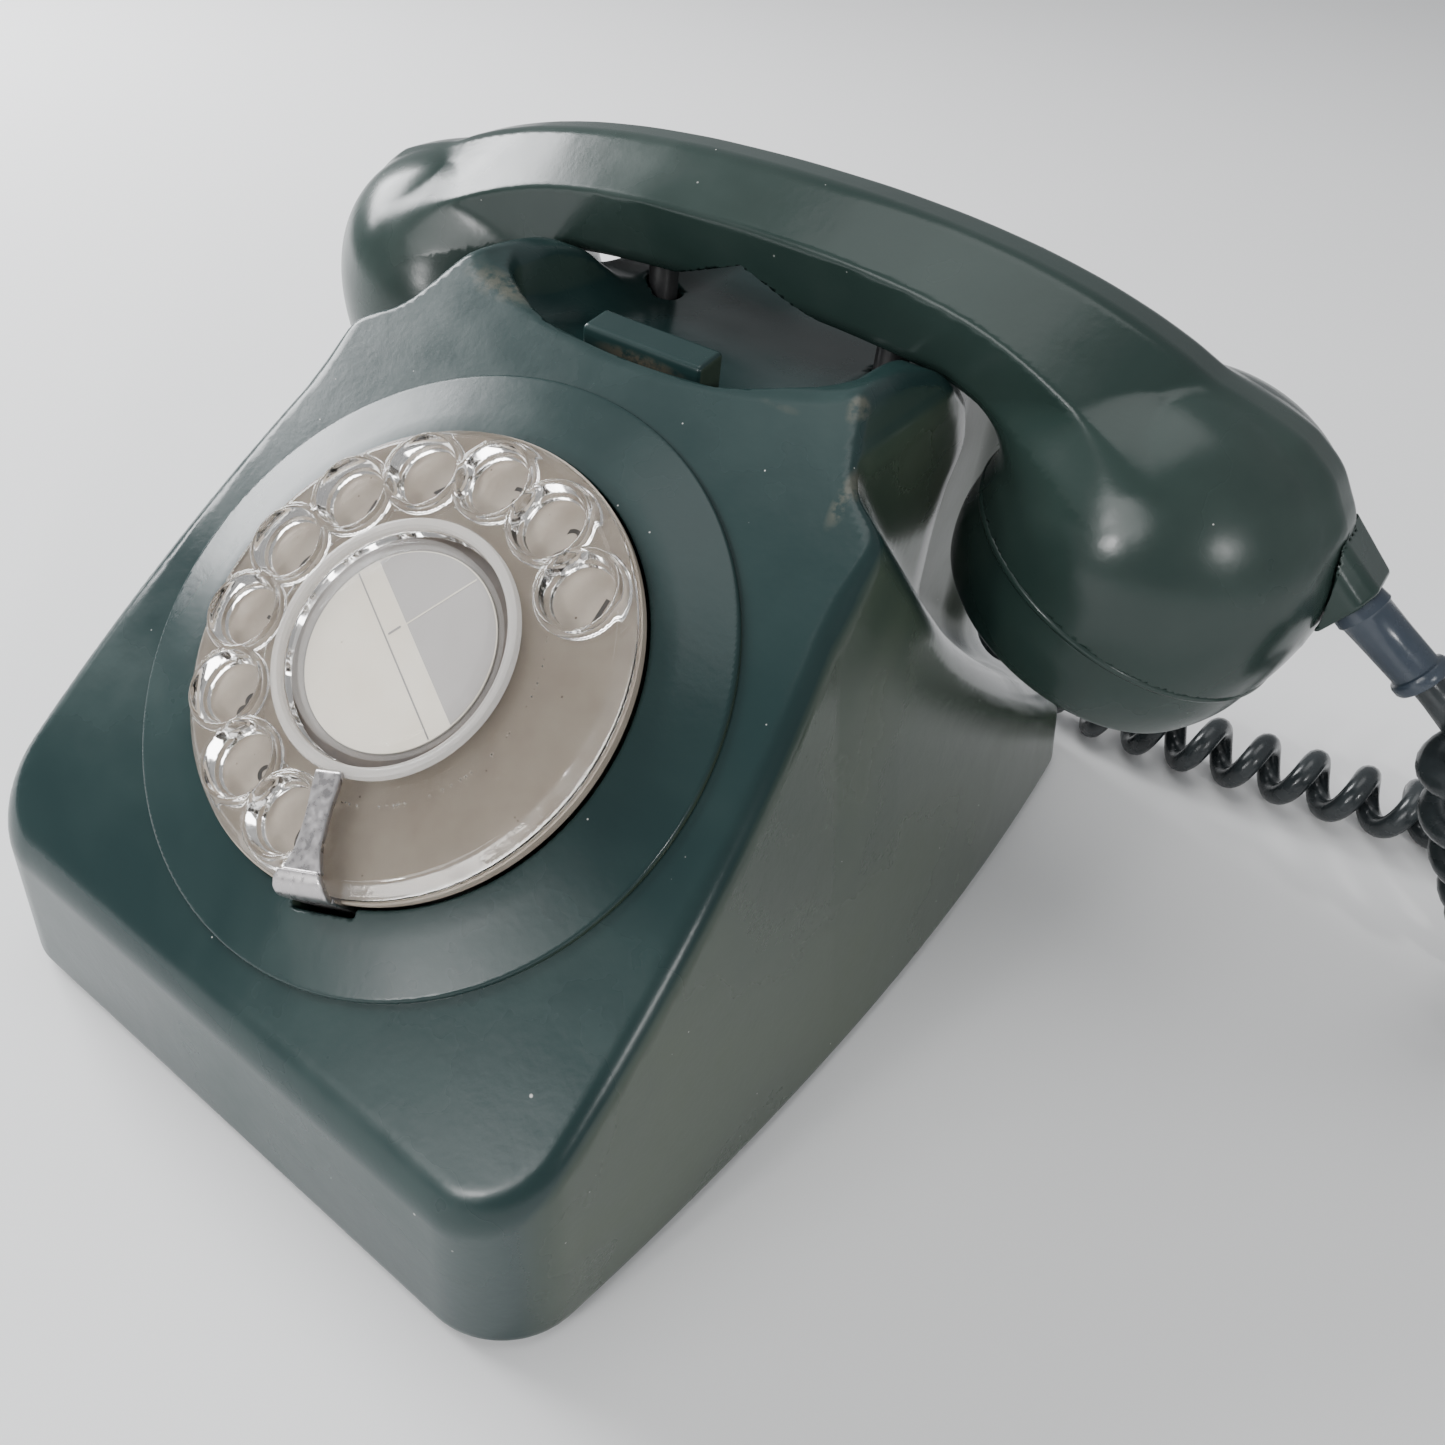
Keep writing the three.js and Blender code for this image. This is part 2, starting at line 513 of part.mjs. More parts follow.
// ---------------------------------------------------------------- gravity switch and press button
function makeSwitch() {
  const top = HANDSET_TOP - HANDLE_DEPTH - 1.1;
  [['left', -1], ['right', 1]].forEach(([where, side]) => {
    piece(`cradle_plunger_${where}`, turned([
      [0, 85.4], [3, 85.4], [3, 86.6], [4.6, 86.6], [4.6, 88.2], [3, 88.2], [3, top - 1], [2.2, top], [0, top],
    ], 16).translate(side * PLUNGER_X, HANDSET_Y, 0), finishes.beige());
  });
  const [pivotY, pivotZ] = SWITCH_PIVOT;
  const lever = solid(prismX([
    [43.5, 82.6], [56, 82.2], [62, 77.6], [69, 77.6], [69, 82.4], [62, 82.8], [56, 85], [43.5, 85],
  ], -30, 30)).subtract(solid(alongX(rod(1.6, -40, 40, 16)).translate(0, pivotY, pivotZ)));
  piece('switch_lever', surface(lever), finishes.zinc());
  piece('switch_pin', alongX(rod(1.3, -34.5, 34.5, 16)).translate(0, pivotY, pivotZ), finishes.steel());
  let bracket = solid(prismY([
    [-9, FLOOR], [9, FLOOR], [9, 60], [34, 66], [34, 76], [-34, 76], [-34, 66], [-9, 60],
  ], 69.4, 71.4));
  [-1, 1].forEach((side) => {
    const ear = prismX([[62.5, 76], [71.4, 70], [71.4, 84], [62.5, 84]], side * 32.4 - 1.4, side * 32.4 + 1.4);
    bracket = bracket.add(solid(ear));
  });
  bracket = bracket.subtract(solid(alongX(rod(1.6, -40, 40, 16)).translate(0, pivotY, pivotZ)));
  piece('switch_bracket', surface(bracket), finishes.zinc());
  const stack = [
    [0, 0], [12, 0], [12, 20], [9, 20], [9, 4], [7.5, 4], [7.5, 20], [4.5, 20], [4.5, 4], [3, 4], [3, 20], [0, 20],
  ];
  piece('switch_contacts', extrude(stack, 7.2).rotateX(Math.PI / 2).translate(-6, 79.4, 38), finishes.brass());

  const button = solid(box([-12.6, 6.5, 92], [12.6, 12.9, 105.6]))
    .add(solid(prismX([[6.5, 105], [12.9, 105], [12.6, 107.6], [7.2, 106.6]], -12.2, 12.2)))
    .add(solid(box([-14.5, 5, 91.5], [14.5, 14.4, 93.2])));
  piece('press_button', surface(button), finishes.caseGreen());
  const contacts = solid(box([-9, 5.5, 80], [9, 15, 88.4]))
    .add(solid(box([-11, 14.8, 78], [11, 16.2, ROOF_INSIDE - GAP])));
  piece('button_contacts', surface(contacts), finishes.black());
}

// ---------------------------------------------------------------- the handset
const handleTop = (x) => HANDSET_TOP - (x * x) / 820 - 12e-8 * x ** 4;

// a shape about a cup's axis, with its height from the seam, leaned outwards to its place
function onCup(geometry, side) {
  return geometry.rotateY(side * CUP_TILT).translate(side * CUP_X, 0, CUP_Z);
}

function cup(extra) {
  const dome = [0, 15, 30, 45, 60, 75].map((degrees) => {
    const a = THREE.MathUtils.degToRad(degrees);
    return [CUP_RADIUS * Math.cos(a) ** 0.87 + extra, CUP_HEIGHT * Math.sin(a) ** 0.87 + extra];
  });
  return turned([[0, -extra], [CUP_RADIUS + extra, -extra], ...dome.slice(1), [0, CUP_HEIGHT + extra]], 28);
}

function makeHandset() {
  const handset = new THREE.Group();
  handset.position.set(0, HANDSET_Y, 0);
  telephone.add(handset);
  const stations = [-84, -76, -66, -56, -44, -30, -15, 0, 15, 30, 44, 56, 66, 76, 84];
  const handle = loft(stations.map((x) => {
    const spread = Math.max(0, Math.abs(x) - 44);
    const wide = 14.5 + 0.22 * spread;
    const deep = HANDLE_DEPTH + 0.25 * spread;
    const half = [[4, 0], [wide, -7.6], [wide - 1.9, -deep + 2.1], [9, -deep]];
    const all = [...half, ...half.map(([y, z]) => [-y, z]).reverse()];
    return all.map(([y, z]) => [x, y, handleTop(x) + z]);
  }));
  let body = solid(handle);
  [-1, 1].forEach((side) => {
    body = body.add(solid(onCup(cup(0), side)));
  });
  [-1, 1].forEach((side) => {
    const room = turned([[0, -12], [26.6, -12], [26.6, 8], [23.4, 17], [19, 22], [12, 26], [0, 28]], 28);
    body = body.subtract(solid(onCup(room, side)));
  });
  piece('handset_body', surface(body), finishes.handsetGreen(), handset);

  const capProfile = [
    [0, 2.4 - CAP_DEPTH], [8, 2 - CAP_DEPTH], [19, -CAP_DEPTH], [22.6, 0.3 - CAP_DEPTH], [26, 2 - CAP_DEPTH],
    [28.3, 5 - CAP_DEPTH], [29.3, -7], [29.4, -GAP], [26.8, -GAP], [26.6, -4], [24.4, -8.6], [20, -11], [0, -11],
  ];
  [['ear', -1, 5], ['mouth', 1, 7]].forEach(([name, side, holes]) => {
    let cap = solid(turned(capProfile, 28));
    for (let i = 0; i < holes; i += 1) {
      const a = (2 * Math.PI * i) / holes;
      cap = cap.subtract(solid(rod(1.7, -20, -8, 8).translate(10 * Math.cos(a), 10 * Math.sin(a), 0)));
    }
    piece(`${name}_cap`, onCup(surface(cap), side), finishes.handsetGreen(), handset);
  });
  [['receiver_capsule', -1], ['transmitter_capsule', 1]].forEach(([name, side]) => {
    const capsule = turned([
      [0, -9.6], [19, -9.6], [22.2, -7.2], [24.2, -3.4], [24.2, 6], [20, 10], [0, 10],
    ], 24);
    piece(name, onCup(capsule, side), finishes.zinc(), handset);
  });

  // the square boss on the end of the mouthpiece, and the sleeve that the cord leaves by
  const leave = new THREE.Group();
  leave.position.set(112.2, 0, 87);
  leave.rotation.y = THREE.MathUtils.degToRad(31);
  const toHandset = new THREE.Matrix4().makeRotationY(THREE.MathUtils.degToRad(31)).setPosition(112.2, 0, 87);
  handset.add(leave);
  const boss = solid(box([-10, -6, -5.5], [-1, 6, 4.5]).applyMatrix4(toHandset))
    .subtract(solid(onCup(cup(GAP), 1)));
  piece('cord_entry_boss', surface(boss), finishes.handsetGreen(), handset);
  piece('handset_strain_relief', alongX(turned([
    [0, GAP - 1], [3.9, GAP - 1], [3.6, 13.4], [4.3, 13.8], [4.3, 15.2], [3.4, 15.6], [0, 15.6],
  ], 20)), finishes.relief(), leave);
}

// ---------------------------------------------------------------- the handset cord
const cordDrop = [
  [133, HANDSET_Y, 73], [141, 49, 60], [150, 55, 44], [158, 66, 27], [164, 80, 13.5], [167, 95, 8.2],
  [166, 109, 7.7], [160, 118.6, 7.7], [149.5, 121.6, 7.7], [138.5, 117.6, 7.7], [127.2, 114.6, 7.7],
  [116.6, 112.4, 7.7], [106.9, 110.5, 7.7], [97.5, 108.7, 7.7], [89.4, 107.3, 7.7], [80.8, 106, 7.7],
  [71.4, 105.2, 7.7], [58, 105.2, 7.7],
];

function makeCord() {
  piece('handset_cord_tail', tube([[126, HANDSET_Y, 78.7], [129.2, HANDSET_Y, 76.5], [132.2, HANDSET_Y, 73.8]],
    CORD_RADIUS, 8, 3), finishes.cord());
  piece('handset_cord_coil', tube(cordDrop, COIL_RADIUS, 10, 30), finishes.cord());
  piece('base_cord_tail', tube([
    [57.6, 105.2, 7.7], [50, 106.4, 8], [42, 107.8, 9], [34.6, 106.4, 11], [31, 103.2, 11.8], [30.1, 100.6, 12],
    [30, 98.8, 12],
  ], CORD_RADIUS, 8, 12), finishes.cord());
  piece('handset_cord_gland', alongY(turned([
    [0, 92], [5.1, 92], [5.1, 97.3], [7, 97.3], [6.4, 98.2], [0, 98.2],
  ], 20)).translate(CORD_GLAND_X, 0, GLAND_Z), finishes.rubber());
  piece('line_cord_gland', alongY(ring(3.4, 5.1, 90, 96.6, 20)).translate(LINE_GLAND_X, 0, GLAND_Z),
    finishes.rubber());
}

makeCase();
makeBase();
makeDial();
makeBell();
makeCircuit();
makeSwitch();
makeHandset();
makeCord();

export default telephone;
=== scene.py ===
"""A rotary telephone's looks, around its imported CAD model.

Objects are in metres; shapes are worked out in millimetres."""

import json
import math

import bmesh
import bpy
import numpy as np
from mathutils import Matrix, Vector


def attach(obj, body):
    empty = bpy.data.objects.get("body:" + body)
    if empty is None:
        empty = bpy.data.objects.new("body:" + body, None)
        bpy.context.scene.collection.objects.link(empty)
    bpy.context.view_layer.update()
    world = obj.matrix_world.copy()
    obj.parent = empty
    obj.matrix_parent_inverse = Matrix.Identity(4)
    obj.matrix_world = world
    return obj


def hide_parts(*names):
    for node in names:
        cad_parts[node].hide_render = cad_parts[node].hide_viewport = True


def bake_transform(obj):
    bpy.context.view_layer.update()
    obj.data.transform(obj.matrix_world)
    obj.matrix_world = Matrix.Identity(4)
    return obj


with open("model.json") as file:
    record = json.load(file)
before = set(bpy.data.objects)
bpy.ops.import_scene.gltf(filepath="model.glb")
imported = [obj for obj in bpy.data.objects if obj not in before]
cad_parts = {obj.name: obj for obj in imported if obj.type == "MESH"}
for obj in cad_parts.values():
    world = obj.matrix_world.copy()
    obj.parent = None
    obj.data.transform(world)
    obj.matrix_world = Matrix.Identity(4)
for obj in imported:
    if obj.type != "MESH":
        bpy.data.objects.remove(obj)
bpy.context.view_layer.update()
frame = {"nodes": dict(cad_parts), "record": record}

MM = 0.001

# the case
HALF_LENGTH = 96.9
CASE_BOTTOM = 2.0
CASE_TOP = 112.0
WALL = 3.4
FACE_SLOPE = math.radians(37)
FACE_FRONT = (-95.1, 33.2)  # y and z where the sloping face starts
DIAL_UP_FACE = 61.3
DIAL_Y = FACE_FRONT[0] + DIAL_UP_FACE * math.cos(FACE_SLOPE)
DIAL_Z = FACE_FRONT[1] + DIAL_UP_FACE * math.sin(FACE_SLOPE)
STEP_RADIUS = 52.3
OPENING_RADIUS = 39.2
PLUNGER_X = 26
BUTTON_Y = 9.7
LINE_INLET_X = -20
SCREW_POSTS = (-86, 84)  # y of each
FEET = (("front_left", -50, -80), ("front_right", 50, -80), ("rear_left", -54, 78), ("rear_right", 54, 78))

# the dial, with heights above the sloping face
WHEEL_RADIUS = 38.5
WHEEL_BOTTOM = 5.2
WHEEL_TOP = 8.2
HOLE_CIRCLE = 30.2
HOLE_COUNT = 10
HOLE_STEP = math.radians(25.2)
FIRST_HOLE = math.radians(47)
STOP_BASE = (10.9, -37.6)
STOP_TIP = (4.0, -20.6)

# the handset and its cord
HANDSET_Y = 47.9
HANDSET_TOP = 127.7
CUP_X = 77.5  # middle of the seam between a cup and its cap
CUP_Z = 80.0
CUP_TILT = math.radians(21)
CUP_RADIUS = 29.5
CUP_HEIGHT = 34.0
CUP_POWER = 2.3
CAP_DEPTH = 15.5
CAP_HOLE_CIRCLE = 10
BOSS = (112.2, 87.0)  # x and z on the sleeve's axis, just past the boss
BOSS_TILT = math.radians(31)
WIRE_RADIUS = 2.5
HELIX_RADIUS = 5.2
GLAND = (30.0, 98.2, 12.0)


# ---------------------------------------------------------------- camera
def make_camera():
    data = bpy.data.cameras.new("camera")
    data.sensor_width = 36
    data.lens = 29.89
    data.shift_x = 0.0577
    data.shift_y = -0.0061
    data.clip_start = 0.01
    right = Vector((0.784, 0.618, 0.059)).normalized()
    back = Vector((0.4414, -0.6217, 0.6470))
    back = (back - right * back.dot(right)).normalized()
    up = back.cross(right)
    camera = bpy.data.objects.new("camera", data)
    camera.matrix_world = Matrix((
        (right.x, up.x, back.x, 0.11404),
        (right.y, up.y, back.y, -0.14617),
        (right.z, up.z, back.z, 0.18884),
        (0, 0, 0, 1),
    ))
    bpy.context.scene.collection.objects.link(camera)
    bpy.context.scene.camera = camera


# ---------------------------------------------------------------- mesh helpers
def new_object(name, points, faces, material, normals=None):
    """An object from points in metres."""
    mesh = bpy.data.meshes.new(name)
    mesh.from_pydata([tuple(p) for p in points], [], [tuple(f) for f in faces])
    mesh.validate()
    mesh.shade_smooth()
    if normals is not None:
        mesh.normals_split_custom_set_from_vertices([tuple(n) for n in normals])
    obj = bpy.data.objects.new(name, mesh)
    bpy.context.scene.collection.objects.link(obj)
    mesh.materials.append(material)
    return obj


def place(obj, body, slot, *nodes):
    """The piece rides on a body and stands for CAD nodes, which it hides; the slot is not used."""
    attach(obj, body)
    if nodes:
        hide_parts(*nodes)
    return obj


def shift(x, y, z):
    """A move in millimetres."""
    return Matrix.Translation((x * MM, y * MM, z * MM))


def moved(points, matrix):
    """Points in millimetres through a matrix in metres."""
    turn = np.array(matrix)
    return np.asarray(points, float) * MM @ turn[:3, :3].T + turn[:3, 3]


def lathe(name, profile, matrix, material, segments=96, sharp=35):
    """A turned piece from (radius, height) points in millimetres that start and end on the axis, or close."""
    closed = profile[0] == profile[-1]
    rows = profile[:-1] if closed else profile
    angles = np.arange(segments) * 2 * math.pi / segments
    points, rings = [], []
    for radius, height in rows:
        if radius < 1e-6:
            rings.append([len(points)])
            points.append((0, 0, height))
        else:
            rings.append(list(range(len(points), len(points) + segments)))
            points += [(radius * math.cos(a), radius * math.sin(a), height) for a in angles]
    faces = []
    pairs = zip(rings, rings[1:] + ([rings[0]] if closed else []))
    for low, high in pairs:
        for i in range(segments):
            j = (i + 1) % segments
            if len(low) == 1 and len(high) == 1:
                continue
            if len(low) == 1:
                faces.append((low[0], high[j], high[i]))
            elif len(high) == 1:
                faces.append((low[i], low[j], high[0]))
            else:
                faces.append((low[i], low[j], high[j], high[i]))
    obj = new_object(name, moved(points, matrix), faces, material)
    tidy_shell(obj, sharp)
    return obj


def tidy_shell(obj, sharp=None):
    """Faces point out, and edges over an angle in degrees stay sharp."""
    shell = bmesh.new()
    shell.from_mesh(obj.data)
    bmesh.ops.recalc_face_normals(shell, faces=shell.faces)
    shell.to_mesh(obj.data)
    shell.free()
    if sharp is not None:
        obj.data.set_sharp_from_angle(angle=math.radians(sharp))


def smooth_line(points):
    """A smooth function through the points that doesn't overshoot them."""
    t, v = np.array(points, float).T
    step = np.diff(t)
    rise = np.diff(v) / step
    slope = np.concatenate([[rise[0]], np.zeros(len(t) - 2), [rise[-1]]])
    same = rise[:-1] * rise[1:] > 0
    total = np.where(same, rise[:-1] + rise[1:], 1)
    slope[1:-1] = np.where(same, 2 * rise[:-1] * rise[1:] / total, 0)

    def value(at):
        at = np.clip(at, t[0], t[-1])
        i = np.clip(np.searchsorted(t, at, side="right") - 1, 0, len(step) - 1)
        u = (at - t[i]) / step[i]
        start = (1 + 2 * u) * (1 - u) ** 2 * v[i] + u * (1 - u) ** 2 * step[i] * slope[i]
        return start + u * u * (3 - 2 * u) * v[i + 1] + u * u * (u - 1) * step[i] * slope[i + 1]

    return value


def above(z, line, at):
    """Distance above a smooth line."""
    slope = line(at + 0.25) - line(at - 0.25)
    slope = slope * 2
    return (z - line(at)) / np.sqrt(1 + slope**2)


def cut(a, b, radius):
    """What is inside both, with a rounded edge."""
    corner = np.sqrt(np.maximum(radius + a, 0) ** 2 + np.maximum(radius + b, 0) ** 2)
    return np.minimum(-radius, np.maximum(a, b)) + corner


def join(a, b, radius):
    """What is inside either, with a fillet."""
    corner = np.sqrt(np.maximum(radius - a, 0) ** 2 + np.maximum(radius - b, 0) ** 2)
    return np.maximum(radius, np.minimum(a, b)) - corner


def gradient(distance, points):
    reach = 0.03
    parts = []
    for axis in range(3):
        ahead, behind = points.copy(), points.copy()
        ahead[:, axis] += reach
        behind[:, axis] -= reach
        parts.append(distance(*ahead.T) - distance(*behind.T))
    return np.stack(parts, 1) / (2 * reach)


def grid_line(low, high, step, fine):
    """Positions from just under low to just over high, closer together in the fine ranges (from, to, step)."""
    line = [low - 2.2 * step]
    while line[-1] < high + 1.5 * step:
        line.append(line[-1] + next((size for start, end, size in fine if start <= line[-1] < end), step))
    return np.array(line)


def surface(name, distance, low, high, step, matrix, material, fine=((), (), ())):
    """A mesh of where distance(x, y, z) is 0: one point in each cell that it crosses, moved on to it."""
    axes = [grid_line(low[i], high[i], step, fine[i]) for i in range(3)]
    x, y, z = np.meshgrid(*axes, indexing="ij", sparse=True)
    field = np.broadcast_to(distance(x, y, z), [len(a) for a in axes])
    inside = field < 0
    cells = tuple(n - 1 for n in field.shape)

    def corner(values, i, j, k):
        return values[i:cells[0] + i, j:cells[1] + j, k:cells[2] + k]

    count = sum(corner(inside, i, j, k).astype(np.int8) for i in (0, 1) for j in (0, 1) for k in (0, 1))
    crossed = (count > 0) & (count < 8)
    where = np.argwhere(crossed)
    index = np.full(cells, -1)
    index[crossed] = np.arange(len(where))
    total = np.zeros((len(where), 3))
    hits = np.zeros(len(where))
    for axis in range(3):
        for a in (0, 1):
            for b in (0, 1):
                start = np.insert([a, b], axis, 0)
                end = np.insert([a, b], axis, 1)
                first = corner(field, *start)[crossed]
                last = corner(field, *end)[crossed]
                change = (first < 0) != (last < 0)
                share = np.where(change, first / np.where(change, first - last, 1), 0)
                at = np.tile(start.astype(float), (len(where), 1))
                at[:, axis] = share
                total += np.where(change[:, None], at, 0)
                hits += change
    share = total / hits[:, None]
    points = np.stack([a[w] + t * (a[w + 1] - a[w]) for a, w, t in zip(axes, where.T, share.T)], 1)
    for _ in range(4):
        slope = gradient(distance, points)
        size = np.maximum((slope**2).sum(1), 0.05)
        shift = (distance(*points.T) / size)[:, None] * slope
        length = np.linalg.norm(shift, axis=1)[:, None]
        points = points - shift * np.minimum(1, 0.4 * step / np.maximum(length, 1e-9))
    normals = gradient(distance, points)
    normals /= np.maximum(np.linalg.norm(normals, axis=1), 1e-9)[:, None]

    faces = []
    for axis in range(3):
        one, two = [k for k in range(3) if k != axis]
        first = np.moveaxis(inside, axis, 0)[:-1, 1:-1, 1:-1]
        last = np.moveaxis(inside, axis, 0)[1:, 1:-1, 1:-1]
        around = np.moveaxis(index, axis, 0)
        ring = [around[:, :-1, :-1], around[:, 1:, :-1], around[:, 1:, 1:], around[:, :-1, 1:]]
        for leaving in (True, False):
            edges = (first & ~last) if leaving else (~first & last)
            quads = np.stack([r[edges] for r in ring], 1)
            outward = leaving == ((one, two) != (0, 2))
            faces.append(quads if outward else quads[:, ::-1])
    faces = np.concatenate(faces)
    turn = np.array(matrix)[:3, :3]
    return new_object(name, moved(points, matrix), faces.tolist(), material, normals @ turn.T)


def tube(name, points, radii, material, sides=14):
    """A round closed tube along points in millimetres, with a radius at each."""
    points = np.asarray(points, float)
    ahead = np.gradient(points, axis=0)
    ahead /= np.linalg.norm(ahead, axis=1)[:, None]
    across = np.cross(ahead[0], (0.3, 0.2, 0.9))
    across /= np.linalg.norm(across)
    angles = np.arange(sides) * 2 * math.pi / sides
    rings = []
    for point, tangent, radius in zip(points, ahead, np.broadcast_to(radii, len(points))):
        across = across - tangent * across.dot(tangent)
        across /= np.linalg.norm(across)
        other = np.cross(tangent, across)
        rings.append(point + radius * (np.outer(np.cos(angles), across) + np.outer(np.sin(angles), other)))
    verts = np.concatenate(rings + [points[:1], points[-1:]])
    faces = []
    for r in range(len(points) - 1):
        for i in range(sides):
            j = (i + 1) % sides
            faces.append((r * sides + i, r * sides + j, (r + 1) * sides + j, (r + 1) * sides + i))
    last = (len(points) - 1) * sides
    for i in range(sides):
        j = (i + 1) % sides
        faces.append((j, i, len(verts) - 2))
        faces.append((last + i, last + j, len(verts) - 1))
    obj = new_object(name, verts * MM, faces, material)
    tidy_shell(obj, 60)
    return obj


def even_line(points, step):
    """A smooth line through the points, with even steps."""
    points = np.asarray(points, float)
    padded = np.concatenate([[2 * points[0] - points[1]], points, [2 * points[-1] - points[-2]]])
    fine = []
    for i in range(1, len(padded) - 2):
        a, b, c, d = padded[i - 1:i + 3]
        for u in np.arange(0, 1, 0.05):
            fine.append(0.5 * (2 * b + (c - a) * u + (2 * a - 5 * b + 4 * c - d) * u**2
                               + (3 * b - a - 3 * c + d) * u**3))
    fine = np.array(fine + [points[-1]])
    along = np.concatenate([[0], np.cumsum(np.linalg.norm(np.diff(fine, axis=0), axis=1))])
    count = max(2, int(round(along[-1] / step)) + 1)
    even = np.linspace(0, along[-1], count)
    return np.stack([np.interp(even, along, fine[:, k]) for k in range(3)], 1)


# ---------------------------------------------------------------- materials
class Nodes:
    """A material's nodes, with short calls for the ones that are used here."""

    def __init__(self, name):
        self.material = bpy.data.materials.new(name)
        self.material.use_nodes = True
        self.tree = self.material.node_tree
        self.shader = self.tree.nodes["Principled BSDF"]
        self.coordinates = self.tree.nodes.new("ShaderNodeTexCoord").outputs["Object"]

    def link(self, source, target):
        self.tree.links.new(source, target)

    def set(self, **values):
        for key, value in values.items():
            self.shader.inputs[key.replace("_", " ")].default_value = value

    def noise(self, scale, detail=3.0, rough=0.5, stretch=None, distortion=0.0):
        node = self.tree.nodes.new("ShaderNodeTexNoise")
        node.inputs["Scale"].default_value = scale
        node.inputs["Detail"].default_value = detail
        node.inputs["Roughness"].default_value = rough
        node.inputs["Distortion"].default_value = distortion
        self.link(self.stretched(stretch) if stretch else self.coordinates, node.inputs["Vector"])
        return node.outputs["Fac"]

    def stretched(self, scale, turn=(0, 0, 0)):
        node = self.tree.nodes.new("ShaderNodeMapping")
        node.inputs["Scale"].default_value = scale
        node.inputs["Rotation"].default_value = turn
        self.link(self.coordinates, node.inputs["Vector"])
        return node.outputs["Vector"]

    def specks(self, scale, size, share):
        """1 in small round specks, in a share of the cells."""
        node = self.tree.nodes.new("ShaderNodeTexVoronoi")
        node.inputs["Scale"].default_value = scale
        self.link(self.coordinates, node.inputs["Vector"])
        near = self.ramp(node.outputs["Distance"], size, size * 0.5)
        split = self.tree.nodes.new("ShaderNodeSeparateColor")
        self.link(node.outputs["Color"], split.inputs[0])
        chosen = self.math("LESS_THAN", split.outputs[0], share)
        return self.math("MULTIPLY", near, chosen)

    def spot(self, centre, size):
        """1 in the middle of a soft spot, with its centre and half sizes in millimetres."""
        node = self.tree.nodes.new("ShaderNodeTexGradient")
        node.gradient_type = "SPHERICAL"
        mapping = self.tree.nodes.new("ShaderNodeMapping")
        mapping.inputs["Scale"].default_value = [1 / (v * MM) for v in size]
        mapping.inputs["Location"].default_value = [-c / v for c, v in zip(centre, size)]
        self.link(self.coordinates, mapping.inputs["Vector"])
        self.link(mapping.outputs["Vector"], node.inputs["Vector"])
        return node.outputs["Fac"]

    def ramp(self, value, low, high, to_low=0.0, to_high=1.0):
        node = self.tree.nodes.new("ShaderNodeMapRange")
        node.inputs["From Min"].default_value = low
        node.inputs["From Max"].default_value = high
        node.inputs["To Min"].default_value = to_low
        node.inputs["To Max"].default_value = to_high
        self.link(value, node.inputs["Value"])
        return node.outputs["Result"]

    def math(self, operation, a, b):
        node = self.tree.nodes.new("ShaderNodeMath")
        node.operation = operation
        for socket, value in zip(node.inputs, (a, b)):
            if isinstance(value, (int, float)):
                socket.default_value = value
            else:
                self.link(value, socket)
        return node.outputs[0]

    def mix(self, share, a, b):
        node = self.tree.nodes.new("ShaderNodeMix")
        node.data_type = "RGBA"
        if isinstance(share, (int, float)):
            node.inputs[0].default_value = share
        else:
            self.link(share, node.inputs[0])
        for socket, value in ((node.inputs[6], a), (node.inputs[7], b)):
            if isinstance(value, tuple):
                socket.default_value = (*value, 1)
            else:
                self.link(value, socket)
        return node.outputs[2]

    def colour(self, value):
        self.link(value, self.shader.inputs["Base Color"])

    def roughness(self, value):
        self.link(value, self.shader.inputs["Roughness"])

    def bump(self, height, depth):
        """Bump of a depth in millimetres."""
        node = self.tree.nodes.new("ShaderNodeBump")
        node.inputs["Strength"].default_value = 1.0
        node.inputs["Distance"].default_value = depth * MM
        self.link(height, node.inputs["Height"])
        self.link(node.outputs["Normal"], self.shader.inputs["Normal"])

    def facing(self, axis):
        """How much the surface faces along a world axis, either way."""
        node = self.tree.nodes.new("ShaderNodeNewGeometry")
        split = self.tree.nodes.new("ShaderNodeSeparateXYZ")
        self.link(node.outputs["Normal"], split.inputs[0])
        return self.math("ABSOLUTE", split.outputs[axis], 0.0)


